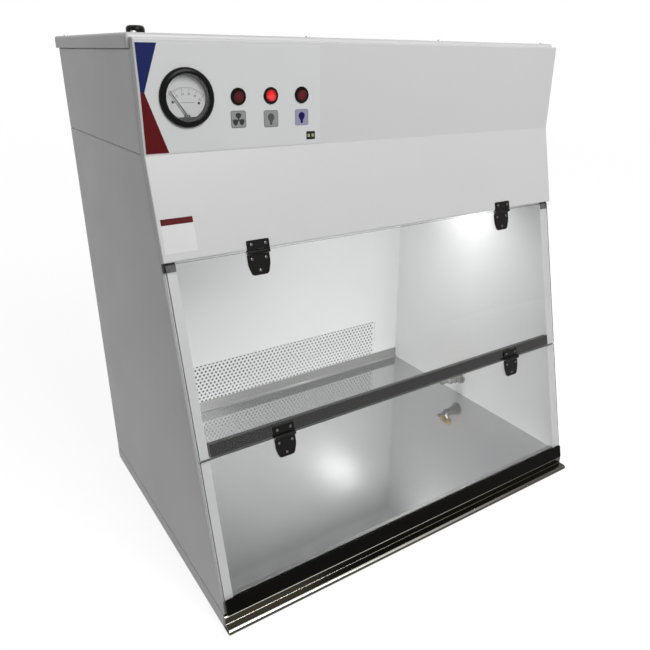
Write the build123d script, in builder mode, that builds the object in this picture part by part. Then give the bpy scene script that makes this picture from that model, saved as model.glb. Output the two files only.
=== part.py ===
from build123d import *
import math
import os

os.makedirs("parts", exist_ok=True)

# A bench-top laminar flow hood: a folded sheet cabinet on a shallow base, with a filter
# and fan head on top and a two-part clear sash leaning on the front.
# Millimetres. X runs across, -Y points to the front, +Z up. The origin lies on the
# surface that the hood stands on, under the middle of its overall depth and width.

# Cabinet
width = 800.0
foot_height = 6.0
base_height = 27.0
body_height = 680.0
head_height = 131.5
cap_height = 18.5
top_depth = 400.0
bottom_depth = 562.0
lip_depth = 584.0
inlet_reach = 24.0
sheet = 1.5
flange = 20.0
bend = 2.5
cap_overhang = 4.0
cap_round = 5.0
touch_gap = 0.3

# Feet and front rail
foot_radius = 15.0
foot_taper = 2.0
foot_inset = 45.0
rail_sheet = 2.0
rail_stand_off = 6.0
lip_thickness = 11.0
rail_bend = 1.8

# Worktop
worktop_height = 49.0
rim_height = 2.6
rim_width = 7.0
rim_bend = 1.0
rim_setback = 1.0

# Rear wall skirting and grille
skirting_height = 26.0
skirting_foot = 7.0
skirting_bend = 5.0
grille_width = 610.0
grille_height = 95.0
grille_lap = 9.0
grille_sheet = 1.2
grille_margin = 7.0
hole_pitch = 20.0
hole_radius = 3.6
row_pitch = 13.4
hole_rows = 7

# Fascia and its label
fascia_depth = 12.0
fascia_drop = 146.0
fascia_top_drop = 6.0
fascia_round = 2.0
label_left = 2.5
label_right = 274.0
label_bottom = 2.0
label_top = 5.0
label_thickness = 0.6
label_round = 2.0

# Pressure gauge, measured from the left side and from the seam under the head
gauge_x = 65.2
gauge_rise = 72.0
gauge_radius = 38.0
gauge_reach = 6.5
gauge_window = 30.5
gauge_case_radius = 32.9
gauge_case_depth = 42.0
gauge_wall = 2.5
gauge_dial_radius = 27.7
gauge_dial_ledge = 2.4
gauge_dial_recess = 11.2
gauge_dial_thickness = 0.8
gauge_lens_thickness = 2.0
gauge_lip = 1.5
gauge_round = 5.0
gauge_clearance = 0.1
pointer_drop = 23.3
pointer_length = 39.0
pointer_tail = 4.0
pointer_root = 1.0
pointer_tip = 0.5
pointer_thickness = 0.5
pointer_gap = 2.6
pointer_hub = 1.8
pointer_pin = 1.0
pointer_rest = 35.0
bridge_drop = 1.5
bridge_thickness = 1.2
tooth_spacing = 6.8
tooth_rise = 2.0
tooth_width = 4.0
tooth_side = 9.0
pin_play = 0.06

# Rocker switches
switch_first = 139.8
switch_pitch = 51.0
switch_count = 3
switch_rise = 72.0
bezel_radius = 11.5
bezel_height = 2.5
bezel_round = 1.2
switch_radius = 10.0
switch_depth = 16.0
switch_bore = 8.5
switch_bore_depth = 7.0
rocker_radius = 7.9
rocker_rise = 3.4
rocker_dip = 1.5
rocker_depth = 3.2
rocker_tilt = 8.0
trunnion_radius = 1.5
trunnion_reach = 9.3

# Sash
pane_thickness = 4.0
pane_stand_off = 3.0
pane_inset = 4.0
pane_top_gap = 2.6
upper_pane_length = 292.5
pane_gap = 1.5
sash_foot_gap = 0.03
pane_corner = 2.0
bar_height = 20.6
bar_depth = 12.0
bar_play = 2.0
strip_height = 26.5
strip_thickness = 2.5
strip_corner = 3.0
pad_width = 18.0
pad_height = 13.5

# Sash hinges
hinge_inset_left = 145.0
hinge_inset_right = 138.0
leaf_width = 37.0
leaf_foot = 27.0
leaf_thickness = 1.6
leaf_drop = 35.5
leaf_rise = 17.5
leaf_corner = 6.0
leaf_knee = 30.0
leaf_top_corner = 2.0
knuckle_radius = 3.5
knuckle_middle = 18.0
knuckle_play = 0.3
knuckle_lift = 0.1
hinge_pin_radius = 1.5
hinge_pin_end = 1.2
hinge_pin_head = 0.4

# Ceiling, filter and diffuser
ceiling_height = 584.0
ceiling_flange = 15.0
ceiling_front_gap = 1.0
filter_width = 720.0
filter_height = 50.0
filter_wall = 14.0
filter_front_gap = 39.5
filter_back_gap = 1.5
pleat_count = 34
pleat_inset = 5.0
pleat_thickness = 4.0
diffuser_lap = 5.0
diffuser_thickness = 1.5
slot_width = 8.0
slot_length = 118.0
slot_columns = 5
slot_pitch = 26.0

# Fan and its deck
deck_height = 736.0
deck_flange = 15.0
plenum_front_setback = 4.0
inlet_radius = 54.0
inlet_flange = 80.0
inlet_hole = 64.0
inlet_depth = 20.0
inlet_sheet = 1.5
wheel_radius = 95.0
wheel_gap = 7.0
wheel_eye = 58.0
eye_collar = 8.0
wheel_plate = 2.0
blade_height = 40.0
blade_count = 9
blade_root = 60.0
blade_sweep = 42.0
blade_thickness = 2.0
rotor_radius = 46.0
rotor_height = 30.0
rotor_wall = 2.5
rotor_gap = 1.5
shaft_radius = 4.0
shaft_play = 0.05
stator_neck = 20.0
stator_flange = 36.0
stator_flange_height = 4.0
shaft_drop = 10.0
bracket_span = 260.0
bracket_width = 60.0
bracket_foot = 22.0
bracket_sheet = 2.5
bracket_bend = 4.0
bracket_drop = 12.0

# Air intake in the cap
intake_width = 320.0
intake_length = 220.0
intake_ledge = 10.0
intake_wall = 10.0
intake_frame_height = 14.0
intake_floor = 3.0
intake_slot_width = 7.0
intake_slot_length = 76.0
intake_slot_columns = 3
intake_slot_rows = 8
intake_slot_pitch = 22.0

# Lamps under the ceiling
lamp_radius = 8.0
lamp_length = 590.0
uv_length = 438.0
lamp_drop = 19.5
lamp_setback = 23.3
uv_setback = 60.3
lamp_cap_length = 18.0
lamp_cap_rim = 0.8
holder_width = 22.0
holder_length = 14.0
holder_round = 9.5

# Cable gland on the cap
gland_x = 105.0
gland_back = 100.0
gland_stem = 11.5
gland_stem_play = 0.5
gland_bore = 6.5
gland_hex = 17.8
gland_hex_height = 5.0
gland_dome = 15.5
gland_height = 18.0
gland_mouth = 9.0
gland_round = 6.0
gland_nut = 16.5
gland_nut_height = 5.0

# Gas valve on the right liner
valve_back = 262.0
valve_height = 95.0
valve_length = 64.0
valve_flange = 17.0
valve_flange_thickness = 3.5
valve_body = 11.0
valve_waist = 9.3
valve_ring = 4.4
valve_groove = 1.6
valve_barrel = 40.0
nozzle_root = 5.4
nozzle_tip = 4.0
nozzle_barb = 1.0
barb_count = 2
nozzle_taper = 4.0
nozzle_end = 2.0
nozzle_bore = 2.2
valve_shank = 6.0
shank_play = 0.1
shank_reach = 4.0
stem_x = 34.0
boss_radius = 5.4
boss_top = 17.0
handle_gap = 0.3
handle_length = 42.0
handle_width = 17.0
handle_thickness = 12.0
handle_offset = 4.0
handle_round = 3.0
handle_hub = 6.5
handle_hub_height = 8.0
handle_pin = 2.5
handle_pin_depth = 8.0
elbow = 13.0
pipe_radius = 4.0
pipe_bore = 3.0
inlet_socket = 6.5
inlet_socket_length = 9.0
inlet_nut = 9.0
inlet_nut_length = 5.0

# Levels
base_z = foot_height
body_z = base_z + base_height
seam_z = body_z + body_height
cap_z = seam_z + head_height
top_z = cap_z + cap_height
worktop_z = foot_height + worktop_height
ceiling_z = foot_height + ceiling_height
deck_z = foot_height + deck_height

# Depths: the overall depth, from the lip's tip to the gas inlet's, is centred on Y = 0
back_y = (lip_depth - inlet_reach) / 2
inner_back_y = back_y - sheet
head_front_y = back_y - top_depth
body_front_y = back_y - bottom_depth
lip_y = back_y - lip_depth
plenum_front_y = head_front_y + plenum_front_setback
fan_y = (head_front_y + back_y) / 2

# The front leans: a point on it has a run v up the slope from the seam and a stand-off w
lean = math.atan2(bottom_depth - top_depth, body_height)
lean_sin = math.sin(lean)
lean_cos = math.cos(lean)
front_plane = Plane(
    origin=(0, head_front_y, seam_z), x_dir=(1, 0, 0), z_dir=(0, -lean_cos, lean_sin)
)


def front_point(v, w):
    """Y and Z of the point at run v and stand-off w on the leaning front."""
    y = head_front_y + v * lean_sin - w * lean_cos
    z = seam_z + v * lean_cos + w * lean_sin
    return (y, z)


def front_y(z, w):
    """Y of the leaning front at a height, for a stand-off w."""
    v = (z - seam_z - w * lean_sin) / lean_cos
    return front_point(v, w)[0]


def facing_front(y):
    """An upright plane at y that looks to the front, with X across and Z up."""
    return Plane(origin=(0, y, 0), x_dir=(1, 0, 0), z_dir=(0, -1, 0))


# Side casings: a skin with a flange turned in along each edge
body_outline = [
    (inner_back_y, body_z),
    (inner_back_y, seam_z),
    (head_front_y, seam_z),
    (body_front_y, body_z),
]
head_outline = [
    (inner_back_y, seam_z),
    (inner_back_y, cap_z),
    (head_front_y, cap_z),
    (head_front_y, seam_z),
]
valve_y = back_y - valve_back
valve_z = foot_height + valve_height
liner_x = width / 2 - flange
pipe_x = liner_x + sheet + (flange - 2 * sheet) / 2


def side_casing(outline, side):
    """A folded side casing, with side = -1 on the left and 1 on the right."""
    with BuildPart() as casing:
        with BuildSketch(Plane.YZ.offset(side * width / 2)):
            with BuildLine():
                Polyline(*outline, close=True)
            make_face()
        extrude(amount=-side * flange)
        skin = casing.faces().sort_by(Axis.X)[0 if side < 0 else -1]
        fillet(skin.edges(), bend)
        with BuildSketch(Plane.YZ.offset(side * (width / 2 - sheet))):
            with BuildLine():
                Polyline(*outline, close=True)
            make_face()
            offset(amount=-sheet, kind=Kind.INTERSECTION)
        extrude(amount=-side * flange, mode=Mode.SUBTRACT)
    return casing


left_side_panel = side_casing(body_outline, -1)
left_side_panel.part.label = "left_side_panel"
export_step(left_side_panel.part, "parts/left_side_panel.step")

with BuildPart() as right_side_panel:
    add(side_casing(body_outline, 1).part)
    with BuildSketch(facing_front(back_y)):
        with Locations((pipe_x, valve_z)):
            Circle(valve_shank + shank_play)
    extrude(amount=3 * sheet, mode=Mode.SUBTRACT)
right_side_panel.part.label = "right_side_panel"
export_step(right_side_panel.part, "parts/right_side_panel.step")

head_left_panel = side_casing(head_outline, -1)
head_left_panel.part.label = "head_left_panel"
export_step(head_left_panel.part, "parts/head_left_panel.step")

head_right_panel = side_casing(head_outline, 1)
head_right_panel.part.label = "head_right_panel"
export_step(head_right_panel.part, "parts/head_right_panel.step")


# Liners: the chamber's side walls, flush with the casings' flanges
def liner(side):
    """A flat inner wall that closes a side casing."""
    with BuildPart() as wall:
        with BuildSketch(Plane.YZ.offset(side * liner_x)):
            with BuildLine():
                Polyline(*body_outline, close=True)
            make_face()
            offset(amount=-sheet, kind=Kind.INTERSECTION)
        extrude(amount=side * sheet)
    return wall


left_liner = liner(-1)
left_liner.part.label = "left_liner"
export_step(left_liner.part, "parts/left_liner.step")

with BuildPart() as right_liner:
    add(liner(1).part)
    with BuildSketch(Plane.YZ.offset(liner_x)):
        with Locations((valve_y, valve_z)):
            Circle(valve_shank + shank_play)
    extrude(amount=sheet, mode=Mode.SUBTRACT)
right_liner.part.label = "right_liner"
export_step(right_liner.part, "parts/right_liner.step")

# Base tray: a shallow box with a flange turned in round its top
base_length = back_y - body_front_y
base_mid_y = (back_y + body_front_y) / 2
with BuildPart() as base_tray:
    with BuildSketch(Plane.XY.offset(base_z)):
        with Locations((0, base_mid_y)):
            Rectangle(width, base_length)
    extrude(amount=base_height)
    fillet(base_tray.edges().filter_by(Axis.Z), bend)
    with BuildSketch(Plane.XY.offset(base_z + sheet)):
        with Locations((0, base_mid_y)):
            Rectangle(width - 2 * sheet, base_length - 2 * sheet)
    extrude(amount=base_height - 2 * sheet, mode=Mode.SUBTRACT)
    with BuildSketch(Plane.XY.offset(body_z - sheet)):
        with Locations((0, base_mid_y)):
            Rectangle(width - 2 * flange, base_length - 2 * flange)
    extrude(amount=sheet, mode=Mode.SUBTRACT)
base_tray.part.label = "base_tray"
export_step(base_tray.part, "parts/base_tray.step")

# Rubber feet under the base tray
with BuildPart() as rubber_feet:
    with Locations((0, base_mid_y, 0)):
        with GridLocations(width - 2 * foot_inset, base_length - 2 * foot_inset, 2, 2):
            Cone(
                bottom_radius=foot_radius - foot_taper,
                top_radius=foot_radius,
                height=foot_height,
                align=(Align.CENTER, Align.CENTER, Align.MIN),
            )
rubber_feet.part.label = "rubber_feet"
export_step(rubber_feet.part, "parts/rubber_feet.step")

# Front rail: a bright folded strip with a rolled lip along its foot
rail_face_y = body_front_y - rail_stand_off + rail_sheet / 2
rail_low_z = base_z + rail_sheet / 2
lip_top_z = base_z + lip_thickness - rail_sheet / 2
lip_radius = (lip_top_z - rail_low_z) / 2 - 0.05
with BuildPart() as front_rail:
    with BuildSketch(Plane.YZ):
        with BuildLine():
            FilletPolyline(
                (body_front_y, body_z - rail_sheet / 2),
                (rail_face_y, body_z - rail_sheet / 2),
                (rail_face_y, lip_top_z),
                (lip_y + rail_sheet / 2, lip_top_z),
                (lip_y + rail_sheet / 2, rail_low_z),
                (body_front_y, rail_low_z),
                radius=[rail_bend, rail_bend, lip_radius, lip_radius],
            )
        trace(line_width=rail_sheet)
    extrude(amount=width / 2, both=True)
front_rail.part.label = "front_rail"
export_step(front_rail.part, "parts/front_rail.step")

# Worktop: one stainless sheet with a raised rim and a front apron
worktop_mid_z = worktop_z - sheet / 2
rim_z = worktop_mid_z + rim_height
apron_y = front_y(rim_z, 0) + rim_setback + sheet / 2
with BuildPart() as work_surface:
    with BuildSketch(Plane.YZ):
        with BuildLine():
            FilletPolyline(
                (inner_back_y, worktop_mid_z),
                (apron_y + rim_width, worktop_mid_z),
                (apron_y + rim_width, rim_z),
                (apron_y, rim_z),
                (apron_y, body_z),
                radius=rim_bend,
            )
        trace(line_width=sheet)
    extrude(amount=liner_x, both=True)
work_surface.part.label = "work_surface"
export_step(work_surface.part, "parts/work_surface.step")

# Rear skirting: a white coved strip that closes the worktop against the rear wall
skirting_y = inner_back_y - sheet / 2
skirting_z = worktop_z + sheet / 2
with BuildPart() as rear_skirting:
    with BuildSketch(Plane.YZ):
        with BuildLine():
            FilletPolyline(
                (skirting_y, worktop_z + skirting_height),
                (skirting_y, skirting_z),
                (skirting_y - skirting_foot, skirting_z),
                radius=skirting_bend,
            )
        trace(line_width=sheet)
    extrude(amount=liner_x, both=True)
rear_skirting.part.label = "rear_skirting"
export_step(rear_skirting.part, "parts/rear_skirting.step")

# Rear panel, with a window for the grille and a hole for the gas inlet
grille_low_z = worktop_z + skirting_height
grille_mid_z = grille_low_z + grille_height / 2
with BuildPart() as rear_panel:
    with BuildSketch(facing_front(back_y)):
        with Locations((0, (body_z + cap_z) / 2)):
            Rectangle(width - 2 * sheet, cap_z - body_z)
        with Locations((0, grille_mid_z)):
            Rectangle(grille_width, grille_height, mode=Mode.SUBTRACT)
        with Locations((pipe_x, valve_z)):
            Circle(valve_shank + shank_play, mode=Mode.SUBTRACT)
    extrude(amount=sheet)
rear_panel.part.label = "rear_panel"
export_step(rear_panel.part, "parts/rear_panel.step")

# Rear grille: a perforated plate behind the window, its holes in staggered rows
hole_columns = int((grille_width - 2 * grille_margin) / hole_pitch)
wide_rows = (hole_rows + 1) // 2
narrow_rows = hole_rows // 2
with BuildPart() as rear_grille:
    with BuildSketch(facing_front(back_y + grille_sheet)):
        with Locations((0, grille_mid_z)):
            Rectangle(grille_width + 2 * grille_lap, grille_height + 2 * grille_lap)
            with GridLocations(hole_pitch, 2 * row_pitch, hole_columns, wide_rows):
                RegularPolygon(hole_radius, 6, mode=Mode.SUBTRACT)
            with GridLocations(hole_pitch, 2 * row_pitch, hole_columns - 1, narrow_rows):
                RegularPolygon(hole_radius, 6, mode=Mode.SUBTRACT)
    extrude(amount=grille_sheet)
rear_grille.part.label = "rear_grille"
export_step(rear_grille.part, "parts/rear_grille.step")

# Cap: a shallow closed lid with an intake and a hole for the gland
cap_back_y = back_y + cap_overhang
cap_front_y = head_front_y + touch_gap
cap_length = cap_back_y - cap_front_y
cap_mid_y = (cap_back_y + cap_front_y) / 2
cap_width = width + 2 * cap_overhang
gland_y = back_y - gland_back
gland_place = (gland_x - width / 2, gland_y)
with BuildPart() as top_cap:
    with BuildSketch(Plane.XY.offset(cap_z)):
        with Locations((0, cap_mid_y)):
            Rectangle(cap_width, cap_length)
    extrude(amount=cap_height)
    fillet(top_cap.edges().filter_by(Axis.Z), cap_round)
    fillet(top_cap.faces().sort_by(Axis.Z)[-1].edges(), cap_round)
    with BuildSketch(Plane.XY.offset(cap_z + sheet)):
        with Locations((0, cap_mid_y)):
            Rectangle(cap_width - 2 * sheet, cap_length - 2 * sheet)
    extrude(amount=cap_height - cap_round - sheet, mode=Mode.SUBTRACT)
    with BuildSketch(Plane.XY.offset(top_z - cap_round)):
        with Locations((0, cap_mid_y)):
            Rectangle(cap_width - 2 * cap_round, cap_length - 2 * cap_round)
    extrude(amount=cap_round - sheet, mode=Mode.SUBTRACT)
    with BuildSketch(Plane.XY.offset(cap_z)):
        with Locations((0, cap_mid_y)):
            Rectangle(width - 2 * flange, cap_length - 2 * flange)
    extrude(amount=sheet, mode=Mode.SUBTRACT)
    with BuildSketch(Plane.XY.offset(top_z - sheet)):
        with Locations((0, fan_y)):
            slot_step = (intake_width - 2 * intake_wall) / intake_slot_columns
            with GridLocations(slot_step, intake_slot_pitch, intake_slot_columns, intake_slot_rows):
                Rectangle(intake_slot_length, intake_slot_width)
        with Locations(gland_place):
            Circle(gland_stem + gland_stem_play)
    extrude(amount=sheet, mode=Mode.SUBTRACT)
top_cap.part.label = "top_cap"
export_step(top_cap.part, "parts/top_cap.step")

# Pre-filter under the intake: a frame with a ledge and a pad that lies in it
intake_top_z = top_z - sheet
intake_low_z = intake_top_z - intake_frame_height
pad_width_x = intake_width - 2 * intake_wall
pad_width_y = intake_length - 2 * intake_wall
with BuildPart() as prefilter_frame:
    with BuildSketch(Plane.XY.offset(intake_low_z)):
        with Locations((0, fan_y)):
            Rectangle(intake_width, intake_length)
            Rectangle(
                pad_width_x - 2 * intake_ledge,
                pad_width_y - 2 * intake_ledge,
                mode=Mode.SUBTRACT,
            )
    extrude(amount=intake_frame_height)
    with BuildSketch(Plane.XY.offset(intake_low_z + intake_floor)):
        with Locations((0, fan_y)):
            Rectangle(pad_width_x, pad_width_y)
    extrude(amount=intake_frame_height - intake_floor, mode=Mode.SUBTRACT)
prefilter_frame.part.label = "prefilter_frame"
export_step(prefilter_frame.part, "parts/prefilter_frame.step")

with BuildPart() as prefilter_pad:
    with BuildSketch(Plane.XY.offset(intake_low_z + intake_floor)):
        with Locations((0, fan_y)):
            Rectangle(pad_width_x, pad_width_y)
    extrude(amount=intake_frame_height - intake_floor)
prefilter_pad.part.label = "prefilter_pad"
export_step(prefilter_pad.part, "parts/prefilter_pad.step")

# Cable gland: a hexagon base, a domed nut and a lock nut inside the cap
gland_plane = Plane(
    origin=(gland_place[0], gland_place[1], top_z), x_dir=(1, 0, 0), z_dir=(0, -1, 0)
)
gland_dome_points = [
    (
        gland_mouth + (gland_dome - gland_mouth) * math.cos(math.radians(angle)),
        gland_height - gland_round * (1 - math.sin(math.radians(angle))),
    )
    for angle in (0, 30, 60, 90)
]
with BuildPart() as cable_gland:
    with BuildSketch(gland_plane):
        with BuildLine():
            Polyline(
                (gland_bore, -sheet - gland_nut_height),
                (gland_stem, -sheet - gland_nut_height),
                (gland_stem, gland_hex_height),
                (gland_dome, gland_hex_height),
                *gland_dome_points,
                (gland_bore, gland_height),
                close=True,
            )
        make_face()
    revolve(axis=Axis(gland_plane.origin, (0, 0, 1)))
    with BuildSketch(Plane.XY.offset(top_z)):
        with Locations(gland_place):
            RegularPolygon(gland_hex, 6)
            Circle(gland_bore, mode=Mode.SUBTRACT)
    extrude(amount=gland_hex_height)
    with BuildSketch(Plane.XY.offset(top_z - sheet)):
        with Locations(gland_place):
            RegularPolygon(gland_nut, 6)
            Circle(gland_bore, mode=Mode.SUBTRACT)
    extrude(amount=-gland_nut_height)
cable_gland.part.label = "cable_gland"
export_step(cable_gland.part, "parts/cable_gland.step")

# Fascia: a shallow V-folded tray over the head's front and the top of the body's front
fascia_y = head_front_y - fascia_depth
fascia_top_z = top_z - fascia_top_drop
fascia_w = fascia_depth * lean_cos
face_y = fascia_y - label_thickness
gauge_place = (gauge_x - width / 2, seam_z + gauge_rise)
switch_places = [
    (switch_first + i * switch_pitch - width / 2, seam_z + switch_rise)
    for i in range(switch_count)
]
crease_z = seam_z + (fascia_w - fascia_depth * lean_cos) / lean_sin


def slope_height(y, w):
    """Height at which the leaning front, at a stand-off w, reaches a depth y."""
    return seam_z + (w + (y - head_front_y) * lean_cos) / lean_sin


with BuildPart() as fascia:
    with BuildSketch(Plane.YZ):
        with BuildLine():
            Polyline(
                (fascia_y, fascia_top_z),
                (fascia_y, crease_z),
                front_point(-fascia_drop, fascia_w),
                front_point(-fascia_drop, 0),
                (head_front_y, seam_z),
                (head_front_y, fascia_top_z),
                close=True,
            )
        make_face()
    extrude(amount=width / 2, both=True)
    front_edges = fascia.edges().filter_by(
        lambda e: e.center().Y < head_front_y - fascia_depth + 0.01
        and (e.center().Y < front_y(e.center().Z, fascia_w) + 0.01 or e.center().Z > seam_z)
    )
    fillet([e for e in front_edges if abs(e.center().Z - crease_z) > 1], fascia_round)
    with BuildSketch(Plane.YZ):
        with BuildLine():
            Polyline(
                (fascia_y + sheet, fascia_top_z - sheet),
                (fascia_y + sheet, slope_height(fascia_y + sheet, fascia_w - sheet)),
                front_point(sheet - fascia_drop, fascia_w - sheet),
                front_point(sheet - fascia_drop, -1),
                (head_front_y + 1, seam_z),
                (head_front_y + 1, fascia_top_z - sheet),
                close=True,
            )
        make_face()
    extrude(amount=width / 2 - sheet, both=True, mode=Mode.SUBTRACT)
    with BuildSketch(facing_front(fascia_y)):
        with Locations(gauge_place):
            Circle(gauge_case_radius + gauge_clearance)
        with Locations(*switch_places):
            Circle(switch_radius + gauge_clearance)
    extrude(amount=-2 * sheet, mode=Mode.SUBTRACT)
fascia.part.label = "fascia"
export_step(fascia.part, "parts/fascia.step")

# Control label: a thin film with the same cut-outs
label_width = label_right - label_left
label_low_z = seam_z + label_bottom
label_high_z = fascia_top_z - label_top
with BuildPart() as control_overlay:
    with BuildSketch(facing_front(fascia_y)):
        with Locations(((label_left + label_right - width) / 2, (label_low_z + label_high_z) / 2)):
            RectangleRounded(label_width, label_high_z - label_low_z, label_round)
        with Locations(gauge_place):
            Circle(gauge_case_radius + gauge_clearance, mode=Mode.SUBTRACT)
        with Locations(*switch_places):
            Circle(switch_radius + gauge_clearance, mode=Mode.SUBTRACT)
    extrude(amount=label_thickness)
control_overlay.part.label = "control_overlay"
export_step(control_overlay.part, "parts/control_overlay.step")

# Pressure gauge: profiles have the radius first, then the height above the label
gauge_section = Plane(
    origin=(gauge_place[0], face_y, gauge_place[1]), x_dir=(1, 0, 0), z_dir=(0, 0, -1)
)
gauge_axis = Axis(gauge_section.origin, (0, -1, 0))
gauge_front = Plane(
    origin=(gauge_place[0], face_y, gauge_place[1]), x_dir=(1, 0, 0), z_dir=(0, -1, 0)
)
lens_top = gauge_reach - gauge_lip
lens_low = lens_top - gauge_lens_thickness
dial_top = gauge_reach - gauge_dial_recess
dial_low = dial_top - gauge_dial_thickness
ledge_radius = gauge_dial_radius - gauge_dial_ledge

bezel_edge = [
    (
        gauge_radius - gauge_round * (1 - math.cos(math.radians(angle))),
        gauge_reach - gauge_round * (1 - math.sin(math.radians(angle))),
    )
    for angle in (0, 30, 60, 90)
]
with BuildPart() as gauge_bezel:
    with BuildSketch(gauge_section):
        with BuildLine():
            Polyline(
                (gauge_case_radius + gauge_clearance, 0),
                (gauge_radius, 0),
                *bezel_edge,
                (gauge_window, gauge_reach),
                (gauge_window, lens_top),
                (gauge_case_radius + gauge_clearance, lens_top),
                close=True,
            )
        make_face()
    revolve(axis=gauge_axis)
gauge_bezel.part.label = "gauge_bezel"
export_step(gauge_bezel.part, "parts/gauge_bezel.step")

with BuildPart() as gauge_lens:
    with BuildSketch(gauge_front.offset(lens_low)):
        Circle(gauge_case_radius)
    extrude(amount=gauge_lens_thickness)
gauge_lens.part.label = "gauge_lens"
export_step(gauge_lens.part, "parts/gauge_lens.step")

with BuildPart() as gauge_case:
    with BuildSketch(gauge_section):
        with BuildLine():
            Polyline(
                (gauge_case_radius, lens_low),
                (gauge_case_radius, -gauge_case_depth),
                (0, -gauge_case_depth),
                (0, gauge_wall - gauge_case_depth),
                (ledge_radius, gauge_wall - gauge_case_depth),
                (ledge_radius, dial_low),
                (gauge_dial_radius, dial_low),
                (gauge_dial_radius, dial_top),
                (gauge_window, lens_low),
                close=True,
            )
        make_face()
    revolve(axis=gauge_axis)
    with BuildSketch(gauge_front.offset(dial_top)):
        with Locations((0, -gauge_dial_radius)):
            Rectangle(2 * gauge_dial_radius, 2 * (gauge_dial_radius - pointer_drop - bridge_drop))
        with Locations(
            (-tooth_spacing / 2, tooth_rise - pointer_drop),
            (tooth_spacing / 2, tooth_rise - pointer_drop),
        ):
            Triangle(a=tooth_width, b=tooth_side, c=tooth_side, align=(Align.CENTER, Align.MAX))
        Circle(gauge_dial_radius + gauge_wall / 2, mode=Mode.INTERSECT)
    extrude(amount=bridge_thickness)
gauge_case.part.label = "gauge_case"
export_step(gauge_case.part, "parts/gauge_case.step")

with BuildPart() as gauge_dial:
    with BuildSketch(gauge_front.offset(dial_low)):
        Circle(gauge_dial_radius)
        with Locations((0, -pointer_drop)):
            Circle(pointer_pin + pin_play, mode=Mode.SUBTRACT)
    extrude(amount=gauge_dial_thickness)
gauge_dial.part.label = "gauge_dial"
export_step(gauge_dial.part, "parts/gauge_dial.step")

needle_plane = gauge_front.offset(dial_top + pointer_gap)
pivot_plane = Plane(
    origin=needle_plane.from_local_coords((0, -pointer_drop, 0)),
    x_dir=(math.cos(math.radians(pointer_rest)), 0, math.sin(math.radians(pointer_rest))),
    z_dir=(0, -1, 0),
)
with BuildPart() as gauge_pointer:
    with BuildSketch(pivot_plane):
        with BuildLine():
            Polyline(
                (-pointer_root, -pointer_tail),
                (pointer_root, -pointer_tail),
                (pointer_tip, pointer_length),
                (-pointer_tip, pointer_length),
                close=True,
            )
        make_face()
        Circle(pointer_hub)
    extrude(amount=pointer_thickness)
    with BuildSketch(pivot_plane):
        Circle(pointer_pin)
    extrude(amount=-(pointer_gap + gauge_dial_thickness + 2))
gauge_pointer.part.label = "gauge_pointer"
export_step(gauge_pointer.part, "parts/gauge_pointer.step")

# Rocker switches: the first and last are off, the middle one is on
switch_names = ["fan", "lamp", "uv"]
rest_tilts = [-rocker_tilt, rocker_tilt, -rocker_tilt]
for name, place, tilt in zip(switch_names, switch_places, rest_tilts):
    centre = (place[0], face_y, place[1])
    section = Plane(origin=centre, x_dir=(1, 0, 0), z_dir=(0, 0, -1))
    front = Plane(origin=centre, x_dir=(1, 0, 0), z_dir=(0, -1, 0))
    with BuildPart() as switch_body:
        with BuildSketch(section):
            with BuildLine():
                Polyline(
                    (switch_bore, bezel_height),
                    (bezel_radius - bezel_round, bezel_height),
                    (bezel_radius, bezel_height - bezel_round),
                    (bezel_radius, 0),
                    (switch_radius, 0),
                    (switch_radius, -switch_depth),
                    (0, -switch_depth),
                    (0, -switch_bore_depth),
                    (switch_bore, -switch_bore_depth),
                    close=True,
                )
            make_face()
        revolve(axis=Axis(centre, (0, -1, 0)))
        with Locations(centre):
            Cylinder(
                trunnion_radius + pin_play,
                2 * (trunnion_reach + pin_play),
                rotation=(0, 90, 0),
                mode=Mode.SUBTRACT,
            )
    switch_body.part.label = name + "_switch_body"
    export_step(switch_body.part, "parts/" + name + "_switch_body.step")

    turn = math.radians(tilt)
    up = (0, math.sin(turn), math.cos(turn))
    out = (0, -math.cos(turn), math.sin(turn))
    with BuildPart() as rocker:
        with BuildSketch(Plane(origin=centre, x_dir=(1, 0, 0), z_dir=out)):
            Circle(rocker_radius)
        extrude(amount=rocker_rise + rocker_depth, both=True)
        with BuildSketch(Plane(origin=centre, x_dir=up, z_dir=(1, 0, 0))):
            with BuildLine():
                Polyline(
                    (-rocker_radius, rocker_rise),
                    (0, rocker_rise - rocker_dip),
                    (rocker_radius, rocker_rise),
                    (rocker_radius, 0),
                    (rocker_radius / 2, -rocker_depth),
                    (-rocker_radius / 2, -rocker_depth),
                    (-rocker_radius, 0),
                    close=True,
                )
            make_face()
        extrude(amount=rocker_radius, both=True, mode=Mode.INTERSECT)
        with Locations(centre):
            Cylinder(trunnion_radius, 2 * trunnion_reach, rotation=(0, 90, 0))
    rocker.part.label = name + "_rocker"
    export_step(rocker.part, "parts/" + name + "_rocker.step")

# Sash panes
pane_w = pane_stand_off
face_w = pane_stand_off + pane_thickness
pane_width = width - 2 * pane_inset
upper_top = -(fascia_drop + pane_top_gap)
upper_low = upper_top - upper_pane_length
lower_top = upper_low - pane_gap
slope_length = math.hypot(bottom_depth - top_depth, body_height)
lower_low = sash_foot_gap - slope_length
lower_pane_length = lower_top - lower_low

with BuildPart() as upper_sash_pane:
    with BuildSketch(front_plane.offset(pane_w)):
        with Locations((0, (upper_top + upper_low) / 2)):
            RectangleRounded(pane_width, upper_pane_length, pane_corner)
    extrude(amount=pane_thickness)
upper_sash_pane.part.label = "upper_sash_pane"
export_step(upper_sash_pane.part, "parts/upper_sash_pane.step")

with BuildPart() as lower_sash_pane:
    with BuildSketch(front_plane.offset(pane_w)):
        with Locations((0, (lower_top + lower_low) / 2)):
            RectangleRounded(pane_width, lower_pane_length, pane_corner)
    extrude(amount=pane_thickness)
lower_sash_pane.part.label = "lower_sash_pane"
export_step(lower_sash_pane.part, "parts/lower_sash_pane.step")

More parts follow.
